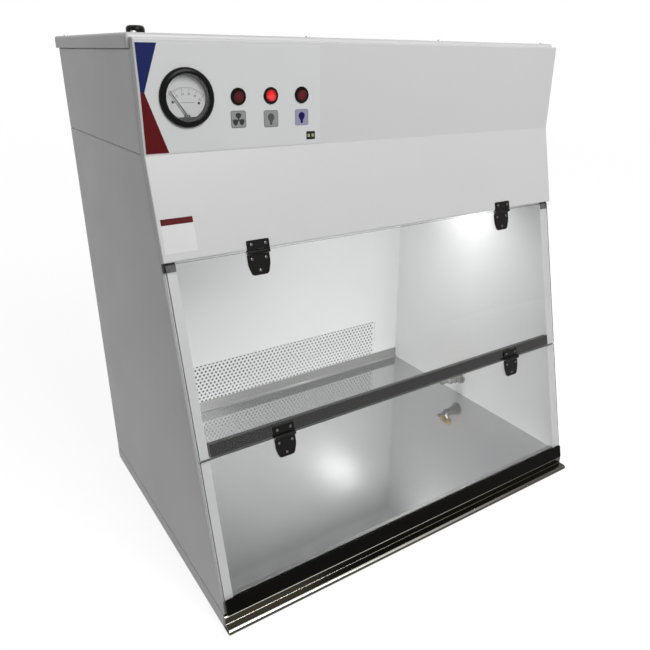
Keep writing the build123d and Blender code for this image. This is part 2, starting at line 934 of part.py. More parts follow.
# Black bar behind the upper pane's lower edge, and black strip along the sash's foot
with BuildPart() as sash_bar:
    with BuildSketch(front_plane.offset(pane_w)):
        with Locations((0, upper_low + bar_height / 2)):
            Rectangle(2 * (liner_x - bar_play), bar_height)
    extrude(amount=-bar_depth)
    fillet(sash_bar.faces().sort_by(Axis.Y)[-1].edges(), rail_bend)
sash_bar.part.label = "sash_bar"
export_step(sash_bar.part, "parts/sash_bar.step")

with BuildPart() as bottom_strip:
    with BuildSketch(front_plane.offset(face_w)):
        with Locations((0, lower_low + strip_height / 2)):
            RectangleRounded(pane_width, strip_height, strip_corner)
    extrude(amount=strip_thickness)
bottom_strip.part.label = "bottom_strip"
export_step(bottom_strip.part, "parts/bottom_strip.step")

# Soft pads on the casings' front flanges, under the sash's top corners
pad_thickness = pane_stand_off - touch_gap
pad_u = width / 2 - flange / 2
with BuildPart() as sash_pads:
    with BuildSketch(front_plane):
        with Locations((-pad_u, -fascia_drop - pad_height / 2), (pad_u, -fascia_drop - pad_height / 2)):
            Rectangle(pad_width, pad_height)
    extrude(amount=pad_thickness)
sash_pads.part.label = "sash_pads"
export_step(sash_pads.part, "parts/sash_pads.step")

# Sash hinges: three knuckles on a pin, the middle one on the lower leaf
hinge_w = face_w + knuckle_radius + knuckle_lift
top_hinge_v = -(fascia_drop + knuckle_radius + knuckle_lift)
mid_hinge_v = upper_low - pane_gap / 2
hinge_places = [hinge_inset_left - width / 2, width / 2 - hinge_inset_right]
knuckle_outer = (leaf_width - knuckle_middle) / 2 - knuckle_play
outer_offset = (leaf_width - knuckle_outer) / 2
plate_start = knuckle_radius + knuckle_play
bore_radius = hinge_pin_radius + pin_play


def lower_leaves(hinge_v):
    """The two shield-shaped leaves that hang from hinges at run hinge_v."""
    with BuildPart() as leaves:
        for u in hinge_places:
            with BuildSketch(front_plane.offset(face_w)) as shield:
                with BuildLine():
                    Polyline(
                        (u - leaf_width / 2, hinge_v - plate_start),
                        (u - leaf_width / 2, hinge_v - 0.55 * leaf_drop),
                        (u - leaf_foot / 2, hinge_v - leaf_drop),
                        (u + leaf_foot / 2, hinge_v - leaf_drop),
                        (u + leaf_width / 2, hinge_v - 0.55 * leaf_drop),
                        (u + leaf_width / 2, hinge_v - plate_start),
                        close=True,
                    )
                make_face()
                fillet(shield.vertices().group_by(Axis.Y)[1], leaf_knee)
                fillet(shield.vertices().group_by(Axis.Y)[0], leaf_corner)
                with Locations((u, hinge_v - plate_start / 2)):
                    Rectangle(knuckle_middle, plate_start)
            extrude(amount=leaf_thickness)
            with Locations(front_plane.location * Location((u, hinge_v, hinge_w))):
                Cylinder(knuckle_radius, knuckle_middle, rotation=(0, 90, 0))
                Cylinder(bore_radius, knuckle_middle, rotation=(0, 90, 0), mode=Mode.SUBTRACT)
    return leaves


def upper_leaves(hinge_v, plate_w):
    """The two plain leaves that stand above hinges at run hinge_v, at stand-off plate_w."""
    with BuildPart() as leaves:
        for u in hinge_places:
            with BuildSketch(front_plane.offset(plate_w)):
                with Locations((u, hinge_v + (plate_start + leaf_rise) / 2)):
                    RectangleRounded(leaf_width, leaf_rise - plate_start, leaf_top_corner)
                with Locations((u, hinge_v + plate_start + leaf_top_corner)):
                    Rectangle(leaf_width, 2 * leaf_top_corner)
                with Locations(
                    (u - outer_offset, hinge_v + plate_start / 2),
                    (u + outer_offset, hinge_v + plate_start / 2),
                ):
                    Rectangle(knuckle_outer, plate_start)
            extrude(amount=leaf_thickness)
            with Locations(
                front_plane.location * Location((u - outer_offset, hinge_v, hinge_w)),
                front_plane.location * Location((u + outer_offset, hinge_v, hinge_w)),
            ):
                Cylinder(knuckle_radius, knuckle_outer, rotation=(0, 90, 0))
                Cylinder(hinge_pin_radius, knuckle_outer, rotation=(0, 90, 0), mode=Mode.SUBTRACT)
    return leaves


def hinge_pins(hinge_v):
    """The two pins of the hinges at run hinge_v."""
    with BuildPart() as pins:
        for u in hinge_places:
            with Locations(front_plane.location * Location((u + hinge_pin_end / 2, hinge_v, hinge_w))):
                Cylinder(hinge_pin_radius, leaf_width + hinge_pin_end, rotation=(0, 90, 0))
    return pins


top_hinge_fixed_leaves = upper_leaves(top_hinge_v, fascia_w)
top_hinge_fixed_leaves.part.label = "top_hinge_fixed_leaves"
export_step(top_hinge_fixed_leaves.part, "parts/top_hinge_fixed_leaves.step")

top_hinge_moving_leaves = lower_leaves(top_hinge_v)
top_hinge_moving_leaves.part.label = "top_hinge_moving_leaves"
export_step(top_hinge_moving_leaves.part, "parts/top_hinge_moving_leaves.step")

top_hinge_pins = hinge_pins(top_hinge_v)
top_hinge_pins.part.label = "top_hinge_pins"
export_step(top_hinge_pins.part, "parts/top_hinge_pins.step")

mid_hinge_upper_leaves = upper_leaves(mid_hinge_v, face_w)
mid_hinge_upper_leaves.part.label = "mid_hinge_upper_leaves"
export_step(mid_hinge_upper_leaves.part, "parts/mid_hinge_upper_leaves.step")

mid_hinge_lower_leaves = lower_leaves(mid_hinge_v)
mid_hinge_lower_leaves.part.label = "mid_hinge_lower_leaves"
export_step(mid_hinge_lower_leaves.part, "parts/mid_hinge_lower_leaves.step")

mid_hinge_pins = hinge_pins(mid_hinge_v)
mid_hinge_pins.part.label = "mid_hinge_pins"
export_step(mid_hinge_pins.part, "parts/mid_hinge_pins.step")

# Ceiling panel: a plate between the liners with a window under the filter
ceiling_mid_z = ceiling_z + sheet / 2
ceiling_front_y = front_y(ceiling_z, 0) + ceiling_front_gap
filter_front_y = plenum_front_y + sheet + filter_front_gap
filter_back_y = inner_back_y - filter_back_gap
filter_length = filter_back_y - filter_front_y
filter_mid_y = (filter_front_y + filter_back_y) / 2
filter_z = ceiling_z + sheet
window_width = filter_width - 2 * filter_wall
window_length = filter_length - 2 * filter_wall
with BuildPart() as ceiling_panel:
    with BuildSketch(facing_front(ceiling_front_y)):
        with BuildLine():
            Polyline(
                (sheet / 2 - liner_x, ceiling_z + ceiling_flange),
                (sheet / 2 - liner_x, ceiling_mid_z),
                (liner_x - sheet / 2, ceiling_mid_z),
                (liner_x - sheet / 2, ceiling_z + ceiling_flange),
            )
        trace(line_width=sheet)
    extrude(amount=-(inner_back_y - ceiling_front_y))
    with BuildSketch(Plane.XY.offset(ceiling_z)):
        with Locations((0, filter_mid_y)):
            Rectangle(window_width, window_length)
    extrude(amount=sheet, mode=Mode.SUBTRACT)
ceiling_panel.part.label = "ceiling_panel"
export_step(ceiling_panel.part, "parts/ceiling_panel.step")

# Diffuser: a slotted plate screwed under the ceiling panel's window
column_step = window_width / slot_columns
slot_rows = int(window_length / slot_pitch)
with BuildPart() as diffuser:
    with BuildSketch(Plane.XY.offset(ceiling_z - diffuser_thickness)):
        with Locations((0, filter_mid_y)):
            Rectangle(window_width + 2 * diffuser_lap, window_length + 2 * diffuser_lap)
            with GridLocations(column_step, slot_pitch, slot_columns, slot_rows):
                Rectangle(slot_length, slot_width, mode=Mode.SUBTRACT)
    extrude(amount=diffuser_thickness)
diffuser.part.label = "diffuser"
export_step(diffuser.part, "parts/diffuser.step")

# High-efficiency filter: an open frame with a pleated pack
with BuildPart() as hepa_frame:
    with BuildSketch(Plane.XY.offset(filter_z)):
        with Locations((0, filter_mid_y)):
            Rectangle(filter_width, filter_length)
            Rectangle(window_width, window_length, mode=Mode.SUBTRACT)
    extrude(amount=filter_height)
hepa_frame.part.label = "hepa_frame"
export_step(hepa_frame.part, "parts/hepa_frame.step")

pleat_low = filter_z + pleat_inset
pleat_high = filter_z + filter_height - pleat_inset - pleat_thickness
pleat_step = window_width / (2 * pleat_count)
pleat_line = [
    (i * pleat_step - window_width / 2, pleat_high if i % 2 else pleat_low)
    for i in range(2 * pleat_count + 1)
]
pleat_return = [(x, z + pleat_thickness) for x, z in reversed(pleat_line)]
with BuildPart() as hepa_media:
    with BuildSketch(facing_front(filter_front_y + filter_wall)):
        with BuildLine():
            Polyline(*pleat_line, *pleat_return, close=True)
        make_face()
    extrude(amount=-window_length)
hepa_media.part.label = "hepa_media"
export_step(hepa_media.part, "parts/hepa_media.step")

# Plenum front: closes the pressure space in front of the filter
with BuildPart() as plenum_front:
    with BuildSketch(facing_front(plenum_front_y)):
        with Locations((0, (filter_z + deck_z) / 2)):
            Rectangle(2 * (liner_x - sheet), deck_z - filter_z)
    extrude(amount=-sheet)
plenum_front.part.label = "plenum_front"
export_step(plenum_front.part, "parts/plenum_front.step")

# Fan deck, across the head between the side skins
deck_mid_z = deck_z + sheet / 2
deck_half = width / 2 - sheet
with BuildPart() as fan_deck:
    with BuildSketch(facing_front(head_front_y + sheet)):
        with BuildLine():
            Polyline(
                (sheet / 2 - deck_half, deck_z + deck_flange),
                (sheet / 2 - deck_half, deck_mid_z),
                (deck_half - sheet / 2, deck_mid_z),
                (deck_half - sheet / 2, deck_z + deck_flange),
            )
        trace(line_width=sheet)
    extrude(amount=-(inner_back_y - head_front_y - 2 * sheet))
    with BuildSketch(Plane.XY.offset(deck_z)):
        with Locations((0, fan_y)):
            Circle(inlet_hole)
    extrude(amount=sheet, mode=Mode.SUBTRACT)
fan_deck.part.label = "fan_deck"
export_step(fan_deck.part, "parts/fan_deck.step")

# Inlet ring: a spun bellmouth that leads the air into the wheel's eye
deck_top_z = deck_z + sheet
fan_section = Plane(origin=(0, fan_y, 0), x_dir=(1, 0, 0), z_dir=(0, -1, 0))
fan_axis = Axis((0, fan_y, 0), (0, 0, 1))
bell_radius = inlet_hole - inlet_radius - 2
bell_z = deck_top_z + inlet_sheet / 2
bell_throat = inlet_radius - inlet_sheet / 2
bell_points = [
    (
        bell_throat + bell_radius * (1 - math.cos(math.radians(angle))),
        bell_z - bell_radius * (1 - math.sin(math.radians(angle))),
    )
    for angle in (90, 60, 30, 0)
]
with BuildPart() as inlet_ring:
    with BuildSketch(fan_section):
        with BuildLine():
            Polyline(
                (inlet_flange, bell_z),
                *bell_points,
                (bell_throat, deck_top_z - inlet_depth),
            )
        trace(line_width=inlet_sheet)
    revolve(axis=fan_axis)
inlet_ring.part.label = "inlet_ring"
export_step(inlet_ring.part, "parts/inlet_ring.step")

# Fan wheel: a back plate, backward-curved blades and a shroud, pressed on the motor's rotor
wheel_top_z = deck_z - wheel_gap
shroud_z = wheel_top_z - eye_collar
blade_z = shroud_z - blade_height
plate_z = blade_z - wheel_plate
rotor_inner_top = plate_z + rotor_height - rotor_wall
blade_end_angle = math.radians(blade_sweep)
blade_mid_angle = blade_end_angle * 0.38
blade_mid_radius = (blade_root + wheel_radius) / 2
with BuildSketch() as one_blade:
    with BuildLine():
        ThreePointArc(
            (blade_root, 0),
            (
                blade_mid_radius * math.cos(blade_mid_angle),
                blade_mid_radius * math.sin(blade_mid_angle),
            ),
            (
                (wheel_radius - blade_thickness) * math.cos(blade_end_angle),
                (wheel_radius - blade_thickness) * math.sin(blade_end_angle),
            ),
        )
    trace(line_width=blade_thickness)
with BuildPart() as fan_wheel:
    with BuildSketch(fan_section):
        with BuildLine():
            Polyline(
                (rotor_radius - rotor_wall, plate_z),
                (wheel_radius, plate_z),
                (wheel_radius, blade_z),
                (rotor_radius, blade_z),
                (rotor_radius, plate_z + rotor_height),
                (0, plate_z + rotor_height),
                (0, plate_z - shaft_drop),
                (shaft_radius, plate_z - shaft_drop),
                (shaft_radius, rotor_inner_top),
                (rotor_radius - rotor_wall, rotor_inner_top),
                close=True,
            )
        make_face()
    revolve(axis=fan_axis)
    with BuildSketch(Plane.XY.offset(blade_z)):
        with Locations((0, fan_y)):
            with PolarLocations(0, blade_count):
                add(one_blade.sketch)
    extrude(amount=blade_height)
    with BuildSketch(fan_section):
        with BuildLine():
            Polyline(
                (wheel_eye, shroud_z),
                (wheel_radius, shroud_z),
                (wheel_radius, shroud_z + wheel_plate),
                (wheel_eye + wheel_plate, shroud_z + wheel_plate),
                (wheel_eye + wheel_plate, wheel_top_z),
                (wheel_eye, wheel_top_z),
                close=True,
            )
        make_face()
    revolve(axis=fan_axis)
fan_wheel.part.label = "fan_wheel"
export_step(fan_wheel.part, "parts/fan_wheel.step")

# Fan motor: the stator inside the rotor cup, on a neck and a flange
stator_top_z = rotor_inner_top - rotor_gap
stator_low_z = plate_z + rotor_gap
stator_radius = rotor_radius - rotor_wall - rotor_gap
bracket_top_z = plate_z - bracket_drop
with BuildPart() as fan_motor:
    with BuildSketch(fan_section):
        with BuildLine():
            Polyline(
                (shaft_radius + shaft_play, stator_top_z),
                (stator_radius, stator_top_z),
                (stator_radius, stator_low_z),
                (stator_neck, stator_low_z),
                (stator_neck, bracket_top_z + stator_flange_height),
                (stator_flange, bracket_top_z + stator_flange_height),
                (stator_flange, bracket_top_z),
                (0, bracket_top_z),
                (0, plate_z - shaft_drop - touch_gap),
                (shaft_radius + shaft_play, plate_z - shaft_drop - touch_gap),
                close=True,
            )
        make_face()
    revolve(axis=fan_axis)
fan_motor.part.label = "fan_motor"
export_step(fan_motor.part, "parts/fan_motor.step")

# Motor bracket: a strap hung from the deck
bracket_mid_z = bracket_top_z - bracket_sheet / 2
bracket_foot_z = deck_z - bracket_sheet / 2
with BuildPart() as motor_bracket:
    with BuildSketch(facing_front(fan_y - bracket_width / 2)):
        with BuildLine():
            FilletPolyline(
                (-bracket_span / 2 - bracket_foot, bracket_foot_z),
                (-bracket_span / 2, bracket_foot_z),
                (-bracket_span / 2, bracket_mid_z),
                (bracket_span / 2, bracket_mid_z),
                (bracket_span / 2, bracket_foot_z),
                (bracket_span / 2 + bracket_foot, bracket_foot_z),
                radius=bracket_bend,
            )
        trace(line_width=bracket_sheet)
    extrude(amount=-bracket_width)
motor_bracket.part.label = "motor_bracket"
export_step(motor_bracket.part, "parts/motor_bracket.step")

# Lamps under the ceiling, behind the fascia: white light and a germicidal tube
lamp_z = ceiling_z - lamp_drop
lamp_y = ceiling_front_y + lamp_setback
uv_y = ceiling_front_y + uv_setback


def tube(length, y):
    """A lamp tube with a slightly wider metal cap at each end."""
    section = Plane(origin=(0, y, lamp_z), x_dir=(1, 0, 0), z_dir=(0, 0, 1))
    half = length / 2
    glass = lamp_radius - lamp_cap_rim
    with BuildPart() as lamp:
        with BuildSketch(section):
            with BuildLine():
                Polyline(
                    (-half, 0),
                    (-half, lamp_radius),
                    (lamp_cap_length - half, lamp_radius),
                    (lamp_cap_length - half, glass),
                    (half - lamp_cap_length, glass),
                    (half - lamp_cap_length, lamp_radius),
                    (half, lamp_radius),
                    (half, 0),
                    close=True,
                )
            make_face()
        revolve(axis=Axis(section.origin, (1, 0, 0)))
    return lamp


lamp_tube = tube(lamp_length, lamp_y)
lamp_tube.part.label = "lamp_tube"
export_step(lamp_tube.part, "parts/lamp_tube.step")

uv_tube = tube(uv_length, uv_y)
uv_tube.part.label = "uv_tube"
export_step(uv_tube.part, "parts/uv_tube.step")

with BuildPart() as lamp_holders:
    for length, y in ((lamp_length, lamp_y), (uv_length, uv_y)):
        for side in (-1, 1):
            with BuildSketch(Plane.YZ.offset(side * length / 2)):
                with Locations((y, ceiling_z - lamp_drop / 2)):
                    Rectangle(holder_width, lamp_drop)
                with Locations((y, lamp_z)):
                    Circle(holder_round)
            extrude(amount=side * holder_length)
lamp_holders.part.label = "lamp_holders"
export_step(lamp_holders.part, "parts/lamp_holders.step")

# Gas valve: a turned body on the right liner, with a ribbed hose nozzle
valve_axis = Axis((0, valve_y, valve_z), (1, 0, 0))
valve_section = Plane(origin=(liner_x, valve_y, valve_z), x_dir=(-1, 0, 0), z_dir=(0, 0, 1))
ring_start = valve_flange_thickness
ring_points = []
for i in range(3):
    start = ring_start + i * (valve_ring + valve_groove)
    ring_points += [(start, valve_body), (start + valve_ring, valve_body)]
    ring_points += [(start + valve_ring, valve_waist), (start + valve_ring + valve_groove, valve_waist)]
barb_start = valve_barrel + nozzle_taper
barb_step = (valve_length - barb_start - nozzle_end) / barb_count
barb_points = []
for i in range(barb_count):
    start = barb_start + i * barb_step
    barb_points += [(start, nozzle_tip + nozzle_barb), (start + barb_step, nozzle_tip)]
with BuildPart() as valve_body_part:
    with BuildSketch(valve_section):
        with BuildLine():
            Polyline(
                (-shank_reach, nozzle_bore),
                (-shank_reach, valve_shank),
                (0, valve_shank),
                (0, valve_flange),
                (valve_flange_thickness, valve_flange - 1),
                *ring_points,
                (valve_barrel, valve_waist),
                (barb_start, nozzle_root),
                *barb_points,
                (valve_length, nozzle_tip),
                (valve_length, nozzle_bore),
                close=True,
            )
        make_face()
    revolve(axis=valve_axis)
    with BuildSketch(Plane.XY.offset(valve_z + valve_waist / 2)):
        with Locations((liner_x - stem_x, valve_y)):
            Circle(boss_radius)
    extrude(amount=boss_top - valve_waist / 2)
    with BuildSketch(Plane.XY.offset(valve_z + boss_top)):
        with Locations((liner_x - stem_x, valve_y)):
            Circle(handle_pin + pin_play)
    extrude(amount=-handle_pin_depth - touch_gap, mode=Mode.SUBTRACT)
valve_body_part.part.label = "valve_body"
export_step(valve_body_part.part, "parts/valve_body.step")

# Valve handle: a leaf-shaped lever on a pin in the valve's boss
handle_z = valve_z + boss_top + handle_gap
with BuildPart() as valve_handle:
    with BuildSketch(Plane((liner_x - stem_x, valve_y + handle_offset, handle_z + handle_gap))):
        with BuildLine():
            ThreePointArc((0, -handle_length / 2), (handle_width / 2, 0), (0, handle_length / 2))
            ThreePointArc((0, handle_length / 2), (-handle_width / 2, 0), (0, -handle_length / 2))
        make_face()
    extrude(amount=handle_thickness)
    chamfer(valve_handle.faces().sort_by(Axis.Z)[-1].edges(), handle_round)
    with BuildSketch(Plane.XY.offset(handle_z)):
        with Locations((liner_x - stem_x, valve_y)):
            Circle(handle_hub)
    extrude(amount=handle_hub_height)
    with BuildSketch(Plane.XY.offset(handle_z)):
        with Locations((liner_x - stem_x, valve_y)):
            Circle(handle_pin)
    extrude(amount=-handle_pin_depth)
valve_handle.part.label = "valve_handle"
export_step(valve_handle.part, "parts/valve_handle.step")

# Gas pipe in the right wall's cavity: an elbow block on the valve's shank and a straight tube
pipe_end_y = inner_back_y - sheet - inlet_socket_length
with BuildPart() as gas_pipe:
    with Locations((liner_x + shank_reach + elbow / 2, valve_y, valve_z)):
        Box(elbow, elbow, elbow)
    with BuildSketch(facing_front(valve_y)):
        with Locations((pipe_x, valve_z)):
            Circle(pipe_radius)
    extrude(amount=-(pipe_end_y - valve_y))
    with BuildSketch(facing_front(valve_y)):
        with Locations((pipe_x, valve_z)):
            Circle(pipe_bore)
    extrude(amount=-(pipe_end_y - valve_y), mode=Mode.SUBTRACT)
gas_pipe.part.label = "gas_pipe"
export_step(gas_pipe.part, "parts/gas_pipe.step")

# Gas inlet: a bulkhead with a hose barb behind the rear panel; distances run backwards
inlet_plane = Plane(origin=(pipe_x, back_y, valve_z), x_dir=(0, 1, 0), z_dir=(0, 0, 1))
inlet_barb_start = inlet_nut_length + nozzle_taper
inlet_barb_step = (inlet_reach - inlet_barb_start - nozzle_end / 2) / barb_count
inlet_barb_points = []
for i in range(barb_count):
    start = inlet_barb_start + i * inlet_barb_step
    inlet_barb_points += [(start, nozzle_tip + nozzle_barb), (start + inlet_barb_step, nozzle_tip)]
with BuildPart() as gas_inlet:
    with BuildSketch(inlet_plane):
        with BuildLine():
            Polyline(
                (-2 * sheet - inlet_socket_length, pipe_bore),
                (-2 * sheet - inlet_socket_length, inlet_socket),
                (-2 * sheet, inlet_socket),
                (-2 * sheet, valve_shank),
                (0, valve_shank),
                (0, inlet_nut),
                (inlet_nut_length, inlet_nut),
                (inlet_nut_length, nozzle_root),
                *inlet_barb_points,
                (inlet_reach, nozzle_tip),
                (inlet_reach, pipe_bore),
                close=True,
            )
        make_face()
    revolve(axis=Axis(inlet_plane.origin, (0, 1, 0)))
gas_inlet.part.label = "gas_inlet"
export_step(gas_inlet.part, "parts/gas_inlet.step")
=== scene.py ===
import math

import bpy
from mathutils import Matrix, Vector


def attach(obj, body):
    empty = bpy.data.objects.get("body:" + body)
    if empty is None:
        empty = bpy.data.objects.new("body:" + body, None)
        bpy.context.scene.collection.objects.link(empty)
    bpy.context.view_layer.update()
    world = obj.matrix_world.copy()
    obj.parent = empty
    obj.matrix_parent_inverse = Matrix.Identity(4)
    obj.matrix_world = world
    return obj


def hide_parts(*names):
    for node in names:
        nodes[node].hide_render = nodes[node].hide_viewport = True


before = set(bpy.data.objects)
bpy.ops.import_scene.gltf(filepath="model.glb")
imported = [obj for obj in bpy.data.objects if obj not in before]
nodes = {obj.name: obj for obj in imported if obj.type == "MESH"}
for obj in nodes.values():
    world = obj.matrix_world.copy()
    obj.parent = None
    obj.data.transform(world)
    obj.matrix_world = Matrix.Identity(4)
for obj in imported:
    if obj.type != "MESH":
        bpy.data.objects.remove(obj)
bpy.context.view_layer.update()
scene = bpy.context.scene
scene.view_settings.view_transform = "Standard"

# Where things are on the hood, in metres. The leaning front is measured from the seam under the
# head: on_front takes a run up the slope, below zero down from the seam, and a distance off it
LEAN = math.atan2(0.162, 0.680)
SEAM = Vector((0, -0.120, 0.713))
UP_SLOPE = Vector((0, math.sin(LEAN), math.cos(LEAN)))
OFF_SLOPE = Vector((0, -math.cos(LEAN), math.sin(LEAN)))
LABEL_Y = -0.1326
DIAL_DEPTH = 0.0047
DIAL_Y = LABEL_Y + DIAL_DEPTH
PIVOT = Vector((-0.3348, DIAL_Y, 0.7617))
HINGE_X = (-0.255, 0.262)
TOP_HINGE = -0.1496
MID_HINGE = -0.44185
LEAF_ON_PANE = 0.0086
LEAF_ON_FASCIA = 0.01327
STICKER_ON_FASCIA = 0.01168
REAR_FACE = 0.2798
GRILLE_FACE = 0.2810
GRILLE_Z = 0.1285
CAP_TOP = 0.8628
DIFFUSER_FACE = 0.5887
BACKWARD = (0, 1, 0)
FORWARD = (0, -1, 0)
UPWARD = (0, 0, 1)
DOWNWARD = (0, 0, -1)


def on_front(x, run, stand_off):
    """A matrix that puts a piece modelled round Z on the leaning front, its Z pointing out."""
    place = SEAM + UP_SLOPE * run + OFF_SLOPE * stand_off + Vector((x, 0, 0))
    turn = Matrix((Vector((1, 0, 0)), UP_SLOPE, OFF_SLOPE)).transposed()
    return Matrix.Translation(place) @ turn.to_4x4()


def facing(x, y, z, out=FORWARD):
    """A matrix that puts a piece modelled round Z at a point, its Z pointing along out.

    What faces forward, such as print, keeps its X to the right and its Y up.
    """
    if out == FORWARD:
        turn = Matrix(((1, 0, 0), (0, 0, -1), (0, 1, 0))).to_quaternion()
    else:
        turn = Vector(out).to_track_quat("Z", "Y")
    return Matrix.Translation((x, y, z)) @ turn.to_matrix().to_4x4()


# Helpers for modelling
def take(piece):
    """Selects one piece alone and makes it the active one."""
    bpy.ops.object.select_all(action="DESELECT")
    piece.select_set(True)
    bpy.context.view_layer.objects.active = piece
    return piece


def new_piece(name):
    """Names the primitive that was just added, and settles its place into its mesh."""
    piece = bpy.context.object
    piece.name = name
    piece.data.name = name
    take(piece)
    bpy.ops.object.transform_apply(location=True, rotation=True, scale=True)
    return piece


def pick(piece, test, what="FACE"):
    """In edit mode, selects the faces or points whose place passes the test."""
    bpy.ops.mesh.select_mode(type="FACE" if what == "FACE" else "VERT")
    bpy.ops.mesh.select_all(action="DESELECT")
    bpy.ops.object.mode_set(mode="OBJECT")
    if what == "FACE":
        for face in piece.data.polygons:
            face.select = bool(test(face.center, face.normal))
    else:
        for point in piece.data.vertices:
            point.select = bool(test(point.co))
    bpy.ops.object.mode_set(mode="EDIT")


def set_in_place(piece, place):
    """Moves a finished mesh to its place, with its object left at the origin."""
    piece.data.transform(place)
    piece.data.update()
    return piece


def copies(model, name, places):
    """Copies a finished model to each place and joins the copies as one piece."""
    made = []
    for place in places:
        copy = model.copy()
        copy.data = model.data.copy()
        copy.data.transform(place)
        scene.collection.objects.link(copy)
        made.append(copy)
    bpy.ops.object.select_all(action="DESELECT")
    for copy in made:
        copy.select_set(True)
    bpy.context.view_layer.objects.active = made[0]
    if len(made) > 1:
        bpy.ops.object.join()
    made[0].name = name
    made[0].data.name = name
    return made[0]


def finish(piece, material, body, smooth=None):
    """Gives a piece its material, its smoothing and the body that it rides on."""
    if material is not None:
        piece.data.materials.clear()
        piece.data.materials.append(material)
    take(piece)
    if smooth is not None:
        bpy.ops.object.shade_smooth_by_angle(angle=math.radians(smooth))
    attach(piece, body)
    return piece


# Helpers for materials
def blank(name, colour, roughness, metallic=0.0):
    """A new material with its node tree and its surface shader."""
    material = bpy.data.materials.new(name)
    material.use_nodes = True
    tree = material.node_tree
    shader = tree.nodes["Principled BSDF"]
    shader.inputs["Base Color"].default_value = (*colour, 1)
    shader.inputs["Roughness"].default_value = roughness
    shader.inputs["Metallic"].default_value = metallic
    return material, tree, shader


def node(tree, kind, **settings):
    """Adds a node with its settings."""
    made = tree.nodes.new(kind)
    for key, value in settings.items():
        setattr(made, key, value)
    return made


def map_range(tree, source, start, end):
    """Maps a coordinate onto 0 to 1 between two places."""
    made = node(tree, "ShaderNodeMapRange")
    made.inputs["From Min"].default_value = start
    made.inputs["From Max"].default_value = end
    tree.links.new(source, made.inputs["Value"])
    return made.outputs["Result"]


def object_place(tree, scale=(1, 1, 1), move=(0, 0, 0)):
    """The socket of the object coordinates, scaled and moved by a Mapping node."""
    place = node(tree, "ShaderNodeTexCoord")
    mapping = node(tree, "ShaderNodeMapping")
    mapping.inputs["Scale"].default_value = scale
    mapping.inputs["Location"].default_value = move
    tree.links.new(place.outputs["Object"], mapping.inputs["Vector"])
    return mapping.outputs["Vector"]


def noise(tree, scale, detail=3.0, stretch=(1, 1, 1)):
    """A cloudy texture in the object's own space, stretched along its axes."""
    made = node(tree, "ShaderNodeTexNoise")
    made.inputs["Scale"].default_value = scale
    made.inputs["Detail"].default_value = detail
    tree.links.new(object_place(tree, stretch), made.inputs["Vector"])
    return made.outputs["Fac"]


# A noise texture hardly leaves these two values
NOISE_LOW, NOISE_HIGH = 0.3, 0.7


def spread(tree, source, low, high):
    """Maps the part of 0 to 1 that a noise fills onto a range of its own."""
    made = node(tree, "ShaderNodeMapRange")
    made.inputs["From Min"].default_value = NOISE_LOW
    made.inputs["From Max"].default_value = NOISE_HIGH
    made.inputs["To Min"].default_value = low
    made.inputs["To Max"].default_value = high
    tree.links.new(source, made.inputs["Value"])
    return made.outputs["Result"]


def tint(tree, shader, source, light, dark):
    """Colours the surface between two near shades by a texture."""
    mix = node(tree, "ShaderNodeMix", data_type="RGBA")
    mix.inputs["A"].default_value = (*light, 1)
    mix.inputs["B"].default_value = (*dark, 1)
    tree.links.new(source, mix.inputs["Factor"])
    tree.links.new(mix.outputs["Result"], shader.inputs["Base Color"])


def bump(tree, shader, source, strength, distance):
    """Raises a texture as fine relief."""
    made = node(tree, "ShaderNodeBump")
    made.inputs["Strength"].default_value = strength
    made.inputs["Distance"].default_value = distance
    tree.links.new(source, made.inputs["Height"])
    tree.links.new(made.outputs["Normal"], shader.inputs["Normal"])


def shade(colour, factor):
    """The same colour, darker."""
    return tuple(c * factor for c in colour)


def powder_coat(name, colour, rough=0.38):
    """Sprayed and baked paint: a fine orange peel and a faint unevenness of tone."""
    material, tree, shader = blank(name, colour, rough)
    cloud = spread(tree, noise(tree, 5.0, 4.0), 0.0, 1.0)
    tint(tree, shader, cloud, colour, shade(colour, 0.98))
    wear = spread(tree, noise(tree, 14.0, 3.0), rough - 0.02, rough + 0.03)
    tree.links.new(wear, shader.inputs["Roughness"])
    bump(tree, shader, noise(tree, 620.0, 2.0), 0.10, 0.0002)
    return material


def brushed(name, colour, rough, grain=(3, 900, 900), depth=0.16):
    """Sheet metal with a grain that runs along X."""
    material, tree, shader = blank(name, colour, rough, 1.0)
    lines = noise(tree, 1.0, 3.0, grain)
    tint(tree, shader, spread(tree, lines, 0.0, 1.0), colour, shade(colour, 0.94))
    tree.links.new(spread(tree, lines, rough - 0.02, rough + 0.03), shader.inputs["Roughness"])
    if depth:
        bump(tree, shader, lines, depth, 0.0001)
    return material


def zinc(name, colour, rough):
    """Zinc-coated sheet: flat crystals, each of its own grey."""
    material, tree, shader = blank(name, colour, rough, 0.9)
    crystals = node(tree, "ShaderNodeTexVoronoi")
    crystals.inputs["Scale"].default_value = 90.0
    tree.links.new(object_place(tree), crystals.inputs["Vector"])
    grey = node(tree, "ShaderNodeSeparateColor")
    tree.links.new(crystals.outputs["Color"], grey.inputs["Color"])
    tint(tree, shader, grey.outputs["Red"], colour, shade(colour, 0.72))
    tree.links.new(
        spread(tree, grey.outputs["Green"], rough - 0.08, rough + 0.1), shader.inputs["Roughness"]
    )
    return material


def moulded(name, colour, rough, grain=900.0, depth=0.05, shine=0.35):
    """Moulded plastic or rubber with a fine spark-eroded grain."""
    material, tree, shader = blank(name, colour, rough)
    shader.inputs["Specular IOR Level"].default_value = shine
    tint(tree, shader, spread(tree, noise(tree, 40.0, 3.0), 0.0, 1.0), colour, shade(colour, 0.88))
    worn = spread(tree, noise(tree, 25.0, 4.0), rough - 0.03, rough + 0.05)
    tree.links.new(worn, shader.inputs["Roughness"])
    bump(tree, shader, noise(tree, grain, 2.0), depth, 0.0001)
    return material


